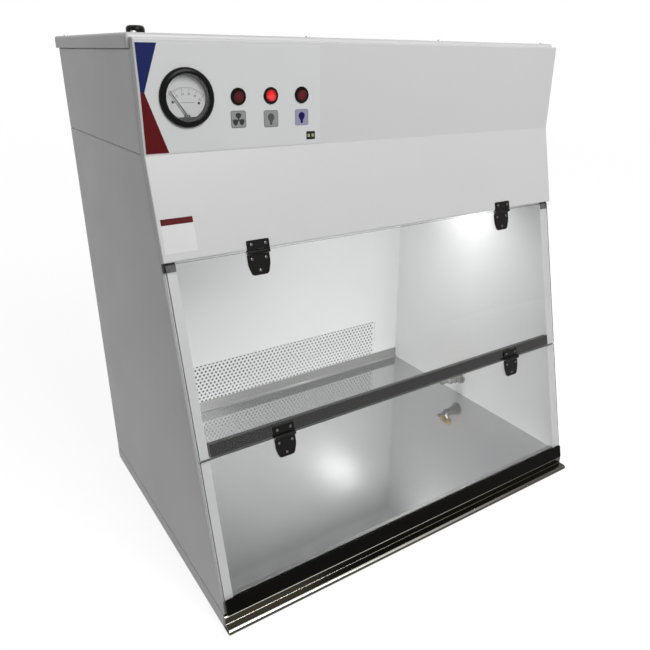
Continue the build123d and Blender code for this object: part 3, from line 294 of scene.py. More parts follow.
def printed(name, colour):
    """Ink or film: an even colour with a hardly visible unevenness and a satin face."""
    material, tree, shader = blank(name, colour, 0.42)
    shader.inputs["Specular IOR Level"].default_value = 0.15
    tint(tree, shader, spread(tree, noise(tree, 9.0, 2.0), 0.0, 1.0), colour, shade(colour, 0.975))
    tree.links.new(spread(tree, noise(tree, 30.0, 3.0), 0.40, 0.46), shader.inputs["Roughness"])
    return material


def clear_sheet(name, colour, passed):
    """A clear pane that bends and mirrors what is seen, and lets lamp light through."""
    material, tree, shader = blank(name, colour, 0.02)
    shader.inputs["Transmission Weight"].default_value = 1.0
    shader.inputs["IOR"].default_value = 1.47
    shader.inputs["Specular IOR Level"].default_value = 0.04
    through = node(tree, "ShaderNodeBsdfTransparent")
    through.inputs["Color"].default_value = (*passed, 1)
    path = node(tree, "ShaderNodeLightPath")
    either = node(tree, "ShaderNodeMath", operation="MAXIMUM")
    tree.links.new(path.outputs["Is Shadow Ray"], either.inputs[0])
    tree.links.new(path.outputs["Is Diffuse Ray"], either.inputs[1])
    mix = node(tree, "ShaderNodeMixShader")
    tree.links.new(either.outputs[0], mix.inputs["Fac"])
    tree.links.new(shader.outputs["BSDF"], mix.inputs[1])
    tree.links.new(through.outputs["BSDF"], mix.inputs[2])
    tree.links.new(mix.outputs["Shader"], tree.nodes["Material Output"].inputs["Surface"])
    tree.links.new(spread(tree, noise(tree, 7.0, 3.0), 0.0, 0.05), shader.inputs["Roughness"])
    return material


# One over the radius in metres of the lit spot
PER_GLOW = 95


def lit_rocker(name, colour, centre, glow):
    """Clear red plastic whose middle glows when its lamp is on."""
    material, tree, shader = blank(name, colour, 0.18)
    shader.inputs["Specular IOR Level"].default_value = 0.2
    # Painted light: the colour is lighter in the middle and darker towards the rim on every rocker
    near = node(tree, "ShaderNodeTexGradient", gradient_type="SPHERICAL")
    scaled = object_place(tree, (PER_GLOW,) * 3, tuple(-PER_GLOW * c for c in centre))
    tree.links.new(scaled, near.inputs["Vector"])
    tint(tree, shader, near.outputs["Fac"], shade(colour, 0.25), colour)
    shader.inputs["Emission Color"].default_value = (1.0, 0.02, 0.02, 1)
    strength = node(tree, "ShaderNodeMath", operation="MULTIPLY")
    strength.inputs[1].default_value = glow
    tree.links.new(near.outputs["Fac"], strength.inputs[0])
    tree.links.new(strength.outputs[0], shader.inputs["Emission Strength"])
    return material


def tube_glass(name, colour, strength):
    """The glass of a lamp tube, with an even glow when it is lit."""
    material, tree, shader = blank(name, colour, 0.25)
    tint(tree, shader, spread(tree, noise(tree, 30.0, 2.0), 0.0, 1.0), colour, shade(colour, 0.97))
    shader.inputs["Emission Color"].default_value = (0.94, 0.97, 1.0, 1)
    shader.inputs["Emission Strength"].default_value = strength
    return material


def satin_sheet(name, colour, rough):
    """Stainless sheet that mirrors softly, with hardly any grain."""
    material, tree, shader = blank(name, colour, rough, 1.0)
    cloud = noise(tree, 4.0, 2.0)
    tint(tree, shader, spread(tree, cloud, 0.0, 1.0), colour, shade(colour, 0.97))
    tree.links.new(spread(tree, cloud, rough - 0.01, rough + 0.01), shader.inputs["Roughness"])
    return material


def painted_bend_highlight(name, bright, dull, x_bright, x_dull):
    """Painted highlight on a rail bend, bright at the left end and fading towards the right."""
    material, tree, shader = blank(name, bright, 0.22, 1.0)
    axes = node(tree, "ShaderNodeSeparateXYZ")
    tree.links.new(object_place(tree), axes.inputs["Vector"])
    tint(tree, shader, map_range(tree, axes.outputs["X"], x_bright, x_dull), bright, dull)
    return material


def cloth_painted_light_below(name, top, low, z_top, z_low):
    """Dark cloth behind the grille, painted paler towards its lower edge as painted light."""
    material, tree, shader = blank(name, top, 0.9)
    shader.inputs["Specular IOR Level"].default_value = 0.1
    axes = node(tree, "ShaderNodeSeparateXYZ")
    tree.links.new(object_place(tree), axes.inputs["Vector"])
    tint(tree, shader, map_range(tree, axes.outputs["Z"], z_top, z_low), top, low)
    bump(tree, shader, noise(tree, 1400.0, 2.0), 0.4, 0.0001)
    return material


def pleats(name, colour):
    """Filter paper: fibres of slightly different white."""
    material, tree, shader = blank(name, colour, 0.9)
    fibres = spread(tree, noise(tree, 1.0, 4.0, (900, 160, 900)), 0.0, 1.0)
    tint(tree, shader, fibres, colour, shade(colour, 0.82))
    bump(tree, shader, fibres, 0.4, 0.0004)
    return material


# The hood's finishes
white_coat = powder_coat("white_powder_coat", (0.72, 0.725, 0.72))
inside_coat = powder_coat("white_powder_coat_inside", (0.74, 0.742, 0.742), 0.24)
# Painted shade: the rear skirting is a dark grey copy of the white coat
skirting_painted_shade = powder_coat("skirting_painted_shade", (0.22, 0.22, 0.216), 0.16)
worktop_steel = satin_sheet("worktop_stainless", (0.50, 0.505, 0.505), 0.085)
# Painted reflection: the rail's steel is coloured near black and olive for dark surroundings
rail_painted_dark = brushed("polished_rail_painted_dark", (0.062, 0.058, 0.047), 0.14, (3, 300, 300), 0.0)
rail_bright = painted_bend_highlight(
    "rail_bright_bend", (0.62, 0.61, 0.55), (0.10, 0.095, 0.08), x_bright=-0.30, x_dull=0.28
)
# Painted shade: the worktop's front rim is coloured dark
rim_painted_shade = brushed("worktop_rim_painted_shade", (0.10, 0.10, 0.098), 0.5, (3, 300, 300), 0.0)
zinc_sheet = zinc("zinc_sheet", (0.58, 0.60, 0.62), 0.42)
pin_steel = brushed("hinge_pin_steel", (0.55, 0.55, 0.55), 0.22, (900, 60, 900), 0.05)
screw_steel = brushed("screw_steel", (0.50, 0.50, 0.48), 0.25, (400, 400, 60), 0.05)
dark_screw = brushed("blackened_screw", (0.14, 0.14, 0.135), 0.22, (400, 400, 60), 0.05)
black_satin = moulded("black_satin_plastic", (0.0055, 0.005, 0.0042), 0.30, 900.0, 0.03, 0.12)
black_strip = moulded("black_strip", (0.0035, 0.0032, 0.0026), 0.45, 900.0, 0.01, 0.03)
black_gloss = moulded("black_gloss_plastic", (0.003, 0.003, 0.003), 0.25, 900.0, 0.01, 0.10)
black_rubber = moulded("black_rubber", (0.014, 0.014, 0.014), 0.7, 700.0, 0.2)
grey_rubber = moulded("grey_rubber", (0.028, 0.028, 0.028), 0.6, 700.0, 0.2)
# Painted light: the cloth behind the grille is paler towards its lower edge
mesh_cloth = cloth_painted_light_below(
    "dark_cloth_painted_light", (0.010, 0.010, 0.010), (0.035, 0.035, 0.034), z_top=0.160, z_low=0.095
)
motor_paint = moulded("motor_paint", (0.02, 0.02, 0.022), 0.45)
white_plastic = moulded("white_plastic", (0.74, 0.74, 0.72), 0.42)
label_film = printed("label_film", (0.78, 0.785, 0.785))
label_white = printed("label_white", (0.86, 0.86, 0.86))
blue_ink = printed("blue_print", (0.006, 0.014, 0.105))
red_ink = printed("red_print", (0.105, 0.0015, 0.003))
tile_grey = printed("tile_grey_print", (0.33, 0.345, 0.335))
tile_rim = printed("tile_rim_print", (0.15, 0.16, 0.155))
tile_blue = printed("tile_blue_print", (0.35, 0.35, 0.46))
dark_ink = printed("dark_print", (0.040, 0.045, 0.043))
navy_ink = printed("navy_print", (0.008, 0.004, 0.09))
dial_white = printed("dial_white", (0.72, 0.73, 0.72))
dial_ink = printed("dial_print", (0.10, 0.10, 0.10))
pointer_grey = moulded("pointer_grey", (0.045, 0.045, 0.045), 0.5)
mark_dark = printed("mark_dark", (0.020, 0.020, 0.012))
mark_pale = printed("mark_pale", (0.42, 0.45, 0.26))
bulb_grey = printed("bulb_grey", (0.10, 0.105, 0.105))
pane_clear = clear_sheet("pane_clear", (0.996, 1.0, 0.998), (0.962, 0.968, 0.965))
lens_clear = clear_sheet("lens_clear", (0.99, 0.995, 0.995), (0.96, 0.965, 0.965))
pane_edge = moulded("pane_cut_edge", (0.20, 0.21, 0.20), 0.5, 900.0, 0.05, 0.1)
filter_metal = brushed("filter_frame_aluminium", (0.72, 0.73, 0.74), 0.36)
filter_paper = pleats("filter_paper", (0.82, 0.82, 0.79))
filter_pad = pleats("filter_pad", (0.66, 0.70, 0.70))
nickel = brushed("nickel_plate", (0.34, 0.34, 0.32), 0.20, (60, 500, 500), 0.08)
brass = brushed("brass", (0.72, 0.44, 0.085), 0.26, (240, 240, 240), 0.12)
white_lamp = tube_glass("white_lamp", (0.92, 0.93, 0.94), 4.0)
clear_lamp = tube_glass("clear_lamp", (0.70, 0.74, 0.80), 0.0)
cap_metal = brushed("lamp_cap_metal", (0.62, 0.63, 0.64), 0.3, (60, 600, 600), 0.05)
SWITCH_X = (-0.2602, -0.2092, -0.1582)
SWITCH_Z = 0.785
ROCKER_STANDS = 0.002
# Only the lamp rocker's lamp is on; the faint glow of the fan and UV rockers is painted light
SWITCH_GLOW = (0.02, 1.3, 0.05)
ROCKER_COLOUR = (0.11, 0.002, 0.004)
rocker_red = []
for name, x, glow in zip(("fan", "lamp", "uv"), SWITCH_X, SWITCH_GLOW):
    spot = (x, LABEL_Y - ROCKER_STANDS, SWITCH_Z)
    rocker_red.append(lit_rocker("rocker_red_" + name, ROCKER_COLOUR, spot, glow))

FINISH = {
    white_coat: ["base_tray", "left_side_panel", "right_side_panel", "rear_panel",
                 "head_left_panel", "head_right_panel", "top_cap", "fascia"],
    inside_coat: ["left_liner", "right_liner", "rear_grille", "ceiling_panel", "diffuser"],
    skirting_painted_shade: ["rear_skirting"],
    zinc_sheet: ["plenum_front", "fan_deck", "inlet_ring", "motor_bracket", "fan_wheel",
                 "prefilter_frame"],
    motor_paint: ["fan_motor"],
    worktop_steel: ["work_surface"],
    rail_painted_dark: ["front_rail"],
    pane_clear: ["upper_sash_pane", "lower_sash_pane"],
    lens_clear: ["gauge_lens"],
    black_strip: ["sash_bar", "bottom_strip"],
    black_satin: ["cable_gland", "gauge_case",
                  "top_hinge_fixed_leaves", "top_hinge_moving_leaves",
                  "mid_hinge_upper_leaves", "mid_hinge_lower_leaves"],
    black_gloss: ["gauge_bezel", "fan_switch_body", "lamp_switch_body", "uv_switch_body"],
    rocker_red[0]: ["fan_rocker"],
    rocker_red[1]: ["lamp_rocker"],
    rocker_red[2]: ["uv_rocker"],
    pin_steel: ["top_hinge_pins", "mid_hinge_pins"],
    label_film: ["control_overlay"],
    dial_white: ["gauge_dial"],
    pointer_grey: ["gauge_pointer"],
    filter_metal: ["hepa_frame"],
    filter_paper: ["hepa_media"],
    filter_pad: ["prefilter_pad"],
    white_lamp: ["lamp_tube"],
    clear_lamp: ["uv_tube"],
    white_plastic: ["lamp_holders"],
    black_rubber: ["rubber_feet"],
    grey_rubber: ["sash_pads"],
    nickel: ["valve_body"],
    brass: ["valve_handle", "gas_pipe", "gas_inlet"],
}
for material, names in FINISH.items():
    for name in names:
        nodes[name].data.materials.clear()
        nodes[name].data.materials.append(material)

# Solids with bends or round faces are shaded smooth up to this angle
SMOOTH_ANGLE = 32
SMOOTHED = (
    "gauge_bezel", "gauge_lens", "gauge_dial", "gauge_case", "cable_gland", "front_rail",
    "work_surface", "rear_skirting", "fan_switch_body", "lamp_switch_body", "uv_switch_body",
    "top_hinge_fixed_leaves", "top_hinge_moving_leaves", "mid_hinge_upper_leaves",
    "mid_hinge_lower_leaves", "top_hinge_pins", "mid_hinge_pins", "lamp_tube", "uv_tube",
    "valve_body", "valve_handle", "gas_pipe", "gas_inlet", "rubber_feet", "top_cap",
    "left_side_panel", "right_side_panel", "head_left_panel", "head_right_panel",
    "fascia", "inlet_ring", "fan_wheel", "fan_motor", "motor_bracket", "base_tray",
    "upper_sash_pane", "lower_sash_pane",
)
for name in SMOOTHED:
    take(nodes[name])
    bpy.ops.object.shade_smooth_by_angle(angle=math.radians(SMOOTH_ANGLE))

# The metal caps are a second slot on each tube
HALF_GLASS = {"lamp_tube": 0.277, "uv_tube": 0.201}
for name, half_glass in HALF_GLASS.items():
    tube = nodes[name].data
    tube.materials.append(cap_metal)
    for face in tube.polygons:
        face.material_index = 1 if abs(face.center.x) > half_glass else 0

# Painted highlights on the rail's bends; the worktop's rim is rough and painted dark as shade
RAIL_TOP_BEND = 0.0300
LIP_START = (0.0155, 0.0180)
LIP_START_Y = -0.297
LIP_END_Y = -0.2985
RIM_START_Y = -0.2672
rail = nodes["front_rail"].data
rail.materials.append(rail_bright)
for face in rail.polygons:
    centre, out = face.center, face.normal
    top_bend = centre.z > RAIL_TOP_BEND and out.y < -0.2
    inner_bend = LIP_START[0] < centre.z < LIP_START[1] and centre.y > LIP_START_Y
    inner_bend = inner_bend and -0.75 < out.y < -0.15
    lip_bend = centre.y < LIP_END_Y and 0.55 < out.z < 0.95
    face.material_index = 1 if top_bend or inner_bend or lip_bend else 0
worktop = nodes["work_surface"].data
# Faces along the worktop's front edge take the dark painted shade
worktop.materials.append(rim_painted_shade)
for face in worktop.polygons:
    face.material_index = 1 if face.center.y < RIM_START_Y else 0

# The camera, solved from the photograph
camera_data = bpy.data.cameras.new("photo_camera")
camera = bpy.data.objects.new("photo_camera", camera_data)
scene.collection.objects.link(camera)
scene.camera = camera
camera.location = (-0.66883, -0.99713, 0.84137)
camera.rotation_euler = (1.16475, -0.01258, -0.59446)
camera_data.sensor_width = 36.0
camera_data.lens = 35.467
camera_data.shift_x = -0.0285
camera_data.shift_y = 0.0062
camera_data.clip_start = 0.02

# Small pieces are smoothed up to a smaller angle than the solids
DETAIL_ANGLE = 30


# Screws, each size modelled once and copied to its places
def pan_screw(name, radius, height):
    """A pan-head screw with a cross recess, standing on the origin."""
    bpy.ops.mesh.primitive_cylinder_add(
        vertices=20, radius=radius, depth=height, location=(0, 0, height / 2)
    )
    screw = new_piece(name)
    bpy.ops.object.mode_set(mode="EDIT")
    pick(screw, lambda c, n: n.z > 0.9)
    bpy.ops.mesh.bevel(offset=height * 0.45, segments=2, affect="EDGES")
    bpy.ops.object.mode_set(mode="OBJECT")
    bars = []
    for turn in (0, math.pi / 2):
        bpy.ops.mesh.primitive_cube_add(size=1, location=(0, 0, height))
        bar = bpy.context.object
        bar.scale = (radius * 1.15, radius * 0.26, height * 0.8)
        bar.rotation_euler.z = turn
        take(bar)
        bpy.ops.object.transform_apply(location=True, rotation=True, scale=True)
        bars.append(bar)
    for bar in bars:
        take(screw)
        cut = screw.modifiers.new("recess", "BOOLEAN")
        cut.operation = "DIFFERENCE"
        cut.object = bar
        bpy.ops.object.modifier_apply(modifier="recess")
        bpy.data.objects.remove(bar)
    return screw


def screws(model, name, places, material=screw_steel, body="cabinet"):
    """Copies a screw to its places as one piece."""
    finish(copies(model, name, places), material, body, DETAIL_ANGLE)


hinge_screw = pan_screw("hinge_screw", 0.0023, 0.0014)
sheet_screw = pan_screw("sheet_screw", 0.0036, 0.0022)

# Each hinge leaf has a pair of screws near its pin, and a moving leaf one more at its foot
SUNK = 0.0002
PAIR_SIDE = 0.0118
PAIR_ABOVE = 0.0112
PAIR_BELOW = 0.0105
FOOT_BELOW = 0.0285
fixed_places = []
upper_places = []
lower_places = []
for x in HINGE_X:
    for side in (-PAIR_SIDE, PAIR_SIDE):
        fixed_places.append(on_front(x + side, TOP_HINGE + PAIR_ABOVE, LEAF_ON_FASCIA - SUNK))
        upper_places.append(on_front(x + side, TOP_HINGE - PAIR_BELOW, LEAF_ON_PANE - SUNK))
        upper_places.append(on_front(x + side, MID_HINGE + PAIR_ABOVE, LEAF_ON_PANE - SUNK))
        lower_places.append(on_front(x + side, MID_HINGE - PAIR_BELOW, LEAF_ON_PANE - SUNK))
    upper_places.append(on_front(x, TOP_HINGE - FOOT_BELOW, LEAF_ON_PANE - SUNK))
    lower_places.append(on_front(x, MID_HINGE - FOOT_BELOW, LEAF_ON_PANE - SUNK))
screws(hinge_screw, "top_hinge_screws", fixed_places, dark_screw)
screws(hinge_screw, "upper_sash_screws", upper_places, dark_screw, "upper_sash")
screws(hinge_screw, "lower_sash_screws", lower_places, dark_screw, "lower_sash")

# Clear panes with rounded corners and dull grey cut edges
PANE_WIDTH = 0.792
PANE_THICKNESS = 0.004
PANE_STAND_OFF = 0.003
PANE_CORNER = 0.002
PANE_CHAMFER = 0.0003


def pane(name, top, low, body):
    """One pane of the sash between two runs of the slope, its edges slightly chamfered.

    The upper pane's top edge, close under the lamp, is blacked out as painted shade.
    """
    bpy.ops.mesh.primitive_cube_add(size=1, location=(0, 0, 0))
    sheet = bpy.context.object
    sheet.scale = (PANE_WIDTH, top - low, PANE_THICKNESS)
    sheet = new_piece(name + "_dressed")
    bpy.ops.object.mode_set(mode="EDIT")
    bpy.ops.mesh.select_mode(type="EDGE")
    bpy.ops.mesh.select_all(action="DESELECT")
    bpy.ops.object.mode_set(mode="OBJECT")
    points = sheet.data.vertices
    for edge in sheet.data.edges:
        first, second = (points[i].co for i in edge.vertices)
        edge.select = abs(first.z - second.z) > PANE_THICKNESS / 2
    bpy.ops.object.mode_set(mode="EDIT")
    bpy.ops.mesh.bevel(offset=PANE_CORNER, segments=4, affect="EDGES")
    pick(sheet, lambda c, n: abs(n.z) > 0.9)
    bpy.ops.mesh.bevel(offset=PANE_CHAMFER, segments=1, affect="EDGES")
    bpy.ops.object.mode_set(mode="OBJECT")
    for look in (pane_clear, pane_edge, black_strip):
        sheet.data.materials.append(look)
    for face in sheet.data.polygons:
        face.material_index = 0 if abs(face.normal.z) > 0.9 else 1
        # Painted shade: the upper pane's top edge is black
        if face.normal.y > 0.5 and name == "upper_sash_pane":
            face.material_index = 2
    set_in_place(sheet, on_front(0, (top + low) / 2, PANE_STAND_OFF + PANE_THICKNESS / 2))
    finish(sheet, None, body)
    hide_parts(name)


pane("upper_sash_pane", -0.1486, -0.4411, "upper_sash")
pane("lower_sash_pane", -0.4426, -0.6990, "lower_sash")

# Screws of the rear panel, the grille, the cap and the diffuser
REAR_EDGE = 0.39
rear_places = [
    facing(x, REAR_FACE, z, BACKWARD)
    for x in (-REAR_EDGE, -0.20, 0.0, 0.20, REAR_EDGE) for z in (0.046, 0.832)
] + [
    facing(x, REAR_FACE, z, BACKWARD) for x in (-REAR_EDGE, REAR_EDGE) for z in (0.25, 0.43, 0.61)
]
screws(sheet_screw, "rear_panel_screws", rear_places)
grille_screw = pan_screw("grille_screw", 0.0024, 0.0014)
screws(grille_screw, "grille_screws", [
    facing(x, GRILLE_FACE, z, BACKWARD)
    for x in (-0.3095, -0.155, 0.0, 0.155, 0.3095) for z in (0.0765, 0.1805)
])
screws(sheet_screw, "cap_screws", [
    facing(x, y, CAP_TOP, UPWARD) for x in (-0.388, -0.13, 0.13, 0.388) for y in (-0.104, 0.268)
])
screws(grille_screw, "diffuser_screws", [
    facing(x, y, DIFFUSER_FACE, DOWNWARD)
    for x in (-0.3465, -0.115, 0.115, 0.3465) for y in (-0.0632, 0.2652)
])
for spare in (hinge_screw, sheet_screw, grille_screw):
    bpy.data.objects.remove(spare)


# The rear grille's plate, with its small round holes in staggered rows
def flat_sheet(name, width, height):
    """A flat sheet round the origin, facing up."""
    bpy.ops.mesh.primitive_plane_add(size=1, location=(0, 0, 0))
    bpy.context.object.scale = (width, height, 1)
    return new_piece(name)


def face_up(piece):
    """Turns a flat piece over where it faces down."""
    if piece.data.polygons[0].normal.z < 0:
        piece.data.flip_normals()


PITCH = 0.0100
ROW = 0.0083
HOLE = 0.0028
COLUMNS = 60
ROWS = 12
FIELD = (PITCH * (COLUMNS + 0.5), ROW * ROWS)
PLATE = (0.628, 0.113)
PLATE_THICKNESS = 0.0012
WELD = 0.00002
cell = flat_sheet("grille_cell", PITCH, ROW)
bpy.ops.object.mode_set(mode="EDIT")
bpy.ops.mesh.select_all(action="SELECT")
bpy.ops.mesh.subdivide(number_cuts=3)
pick(cell, lambda c: abs(c.x) < PITCH * 0.4 and abs(c.y) < ROW * 0.4, "POINT")
bpy.ops.mesh.delete(type="VERT")
bpy.ops.mesh.primitive_circle_add(vertices=16, radius=HOLE, rotation=(0, 0, math.pi / 16))
bpy.ops.mesh.select_all(action="SELECT")
bpy.ops.mesh.bridge_edge_loops()
bpy.ops.mesh.normals_make_consistent(inside=False)
bpy.ops.object.mode_set(mode="OBJECT")
face_up(cell)
half_cell = flat_sheet("grille_half_cell", PITCH / 2, ROW)
row = copies(cell, "grille_row", [Matrix.Translation((PITCH * i, 0, 0)) for i in range(COLUMNS)])
left = -PITCH * COLUMNS / 2 + PITCH / 4
row_places = []
end_places = []
for i in range(ROWS):
    y = (i - (ROWS - 1) / 2) * ROW
    shift = PITCH / 2 if i % 2 else 0.0
    row_places.append(Matrix.Translation((left + shift, y, 0)))
    end = left - PITCH / 4 if i % 2 else left + PITCH * (COLUMNS - 0.25)
    end_places.append(Matrix.Translation((end, y, 0)))
field = copies(row, "grille_field", row_places)
ends = copies(half_cell, "grille_ends", end_places)
border = flat_sheet("grille_border", *FIELD)
bpy.ops.object.mode_set(mode="EDIT")
bpy.ops.mesh.select_all(action="SELECT")
bpy.ops.mesh.delete(type="ONLY_FACE")
bpy.ops.mesh.select_all(action="SELECT")
bpy.ops.mesh.extrude_region_move()
bpy.ops.transform.resize(
    value=(PLATE[0] / FIELD[0], PLATE[1] / FIELD[1], 1), center_override=(0, 0, 0)
)
bpy.ops.mesh.select_all(action="SELECT")
bpy.ops.mesh.normals_make_consistent(inside=False)
bpy.ops.object.mode_set(mode="OBJECT")
face_up(border)
bpy.ops.object.select_all(action="DESELECT")
for part in (field, ends, border):
    part.select_set(True)
bpy.context.view_layer.objects.active = field
bpy.ops.object.join()
field.name = "rear_grille_plate"
take(field)
bpy.ops.object.mode_set(mode="EDIT")
bpy.ops.mesh.select_all(action="SELECT")
bpy.ops.mesh.remove_doubles(threshold=WELD)
bpy.ops.object.mode_set(mode="OBJECT")
thick = field.modifiers.new("thickness", "SOLIDIFY")
thick.thickness = PLATE_THICKNESS
thick.offset = -1
bpy.ops.object.modifier_apply(modifier="thickness")
set_in_place(field, facing(0, 0.2800, GRILLE_Z))
finish(field, inside_coat, "cabinet")
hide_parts("rear_grille")
for spare in (cell, half_cell, row):
    bpy.data.objects.remove(spare)

# Dark cloth held behind the grille, edge pressed flat, painted paler low down as painted light
cloth = flat_sheet("grille_cloth", 0.6140, 0.0990)
bpy.ops.object.mode_set(mode="EDIT")
bpy.ops.mesh.select_all(action="SELECT")
bpy.ops.mesh.inset(thickness=0.004)
bpy.ops.mesh.extrude_region_move(TRANSFORM_OT_translate={"value": (0, 0, 0.0006)})
bpy.ops.object.mode_set(mode="OBJECT")
set_in_place(cloth, facing(0, 0.28125, GRILLE_Z, BACKWARD))
finish(cloth, mesh_cloth, "cabinet", DETAIL_ANGLE)


# Print and film on the label
def flat_shape(name, points, thickness):
    """A thin flat piece with the given outline in X and Y, its top at the thickness."""
    mesh = bpy.data.meshes.new(name)
    mesh.from_pydata([(x, y, 0) for x, y in points], [], [list(range(len(points)))])
    piece = bpy.data.objects.new(name, mesh)
    scene.collection.objects.link(piece)
    take(piece)
    bpy.ops.object.mode_set(mode="EDIT")
    bpy.ops.mesh.select_all(action="SELECT")
    bpy.ops.mesh.extrude_region_move(TRANSFORM_OT_translate={"value": (0, 0, thickness)})
    bpy.ops.mesh.select_all(action="SELECT")
    bpy.ops.mesh.normals_make_consistent(inside=False)
    bpy.ops.object.mode_set(mode="OBJECT")
    return piece


def rounded(width, height, radius, steps=5):
    """Points round a rectangle with rounded corners."""
    points = []
    for corner in range(4):
        sx = (1, -1, -1, 1)[corner]
        sy = (1, 1, -1, -1)[corner]
        for i in range(steps + 1):
            a = math.radians(corner * 90 + 90 * i / steps)
            points.append((
                sx * (width / 2 - radius) + radius * math.cos(a),
                sy * (height / 2 - radius) + radius * math.sin(a),
            ))
    return points


def ring_points(radius, count):
    """Points round a circle."""
    turns = [2 * math.pi * i / count for i in range(count)]
    return [(radius * math.cos(a), radius * math.sin(a)) for a in turns]


def on_label(piece, x, z, ink, layer=0):
    """Puts a flat shape on the label, over as many films as the layer says."""
    place = facing(x, LABEL_Y - layer * FILM, z)
    finish(set_in_place(piece, place), ink, "cabinet")


FILM = 0.00012
on_label(flat_shape("blue_field", [
    (-0.3972, 0.8514), (-0.3966, 0.7921), (-0.3914, 0.7921), (-0.3695, 0.8514),
], FILM), 0, 0, blue_ink)
on_label(flat_shape("red_field", [
    (-0.3966, 0.7920), (-0.3972, 0.7156), (-0.3656, 0.7156), (-0.3914, 0.7920),
], FILM), 0, 0, red_ink)

TILES = ((-0.2614, 0.7547), (-0.2099, 0.7535), (-0.1585, 0.7537))
TILE_RIM = (0.0232, 0.0232, 0.0028)
TILE_FIELD = (0.0216, 0.0216, 0.0022)
TILE_INKS = ((tile_rim, tile_grey), (tile_rim, tile_grey), (tile_blue, tile_blue))
for i, (x, z) in enumerate(TILES):
    rim_ink, field_ink = TILE_INKS[i]
    on_label(flat_shape("tile_rim_" + str(i + 1), rounded(*TILE_RIM), FILM), x, z, rim_ink)
    on_label(flat_shape("tile_" + str(i + 1), rounded(*TILE_FIELD), FILM), x, z, field_ink, 1)


def bulb_outline():
    """A lamp bulb with its narrow foot down."""
    points = []
    for i in range(15):
        a = math.radians(-38 + 256 * i / 14)
        points.append((0.0053 * math.cos(a), 0.0022 + 0.0053 * math.sin(a)))
    points += [(-0.0021, -0.0040), (-0.0021, -0.0074), (-0.0009, -0.0086)]
    points += [(0.0009, -0.0086), (0.0021, -0.0074), (0.0021, -0.0040)]
    return points


blade = flat_shape("fan_blade", [
    (-0.0011, 0.0014), (-0.0040, 0.0048), (-0.0044, 0.0076), (-0.0020, 0.0092), (0.0020, 0.0092),
    (0.0044, 0.0076), (0.0040, 0.0048), (0.0011, 0.0014),
], FILM)
hub = flat_shape("fan_hub", ring_points(0.0013, 10), FILM)
x, z = TILES[0]
icon_z = z - 0.0008
base = facing(x, LABEL_Y - 2 * FILM, icon_z)
finish(copies(blade, "fan_icon", [
    base @ Matrix.Rotation(math.radians(120 * i), 4, "Z") for i in range(3)
]), dark_ink, "cabinet")
on_label(hub, x, icon_z, dark_ink, 2)
bpy.data.objects.remove(blade)
for i, ink in ((1, bulb_grey), (2, navy_ink)):
    x, z = TILES[i]
    on_label(flat_shape("bulb_icon_" + str(i), bulb_outline(), FILM), x, z, ink, 2)

# A bare dark mark with two pale fields near the label's lower right corner
MARK = (-0.1430, 0.7270)
MARK_SIDE = 0.0036
on_label(flat_shape("corner_mark", rounded(0.0150, 0.0120, 0.0008), FILM), *MARK, mark_dark)
mark_field = flat_shape("mark_field", rounded(0.0040, 0.0046, 0.0006), FILM)
finish(copies(mark_field, "corner_mark_fields", [
    facing(MARK[0] + side, LABEL_Y - FILM, MARK[1]) for side in (-MARK_SIDE, MARK_SIDE)
]), mark_pale, "cabinet")
bpy.data.objects.remove(mark_field)

# The bare sticker on the lower fascia, with a red band along its top
STICKER_X = -0.3710
sticker = flat_shape("fascia_sticker", rounded(0.0470, 0.0480, 0.0015), FILM)
sticker_place = on_front(STICKER_X, -0.1100, STICKER_ON_FASCIA)
finish(set_in_place(sticker, sticker_place), label_white, "cabinet")
band = flat_shape("sticker_band", rounded(0.0462, 0.0086, 0.0010), FILM)
band_place = on_front(STICKER_X, -0.0908, STICKER_ON_FASCIA + FILM)
finish(set_in_place(band, band_place), red_ink, "cabinet")

# The gauge's dial: scale, numbers, a line and two screws
ARC = 0.0365
ARC_LINE = 0.0003
DIAL_FILM = 0.00006
NUMBER_DROP = 0.0085
NUMBER_HEIGHT = 0.0042
on_dial = facing(PIVOT.x, DIAL_Y, PIVOT.z)


def tick(name, half_width, length):
    """One line of the scale, from the arc inwards."""
    low = ARC - length
    corners = [(-half_width, low), (half_width, low), (half_width, ARC), (-half_width, ARC)]
    return flat_shape(name, corners, DIAL_FILM)


scale_arc = flat_shape("dial_arc", [
    (r * math.sin(math.radians(a)), r * math.cos(math.radians(a)))
    for r, angles in ((ARC, range(-46, 47, 4)), (ARC - ARC_LINE, range(46, -47, -4)))
    for a in angles
], DIAL_FILM)
finish(set_in_place(scale_arc, on_dial), dial_ink, "cabinet")
short_tick = tick("dial_tick", 0.00013, 0.0028)
long_tick = tick("dial_long_tick", 0.0002, 0.0055)
turns = [Matrix.Rotation(math.radians(45 - 3.6 * i), 4, "Z") for i in range(26)]
finish(copies(short_tick, "dial_ticks", [
    on_dial @ turn for i, turn in enumerate(turns) if i % 5
]), dial_ink, "cabinet")
finish(copies(long_tick, "dial_long_ticks", [
    on_dial @ turn for i, turn in enumerate(turns) if i % 5 == 0
]), dial_ink, "cabinet")
for spare in (short_tick, long_tick):
    bpy.data.objects.remove(spare)
for i in range(6):
    bpy.ops.object.text_add(location=(0, 0, 0))
    number = bpy.context.object
    number.data.body = str(10 * i)
    number.data.size = NUMBER_HEIGHT
    number.data.extrude = DIAL_FILM / 2
    number.data.align_x = "CENTER"
    number.data.align_y = "CENTER"
    take(number)
    bpy.ops.object.convert(target="MESH")
    number = bpy.context.object
    number.name = "dial_number_" + str(10 * i)
    inward = Matrix.Translation((0, ARC - NUMBER_DROP, DIAL_FILM / 2))
    finish(set_in_place(number, on_dial @ turns[5 * i] @ inward), dial_ink, "cabinet")
dial_line = flat_shape("dial_line", rounded(0.0190, 0.0005, 0.0002), DIAL_FILM)
finish(set_in_place(dial_line, facing(-0.3329, DIAL_Y, 0.7785)), dial_ink, "cabinet")
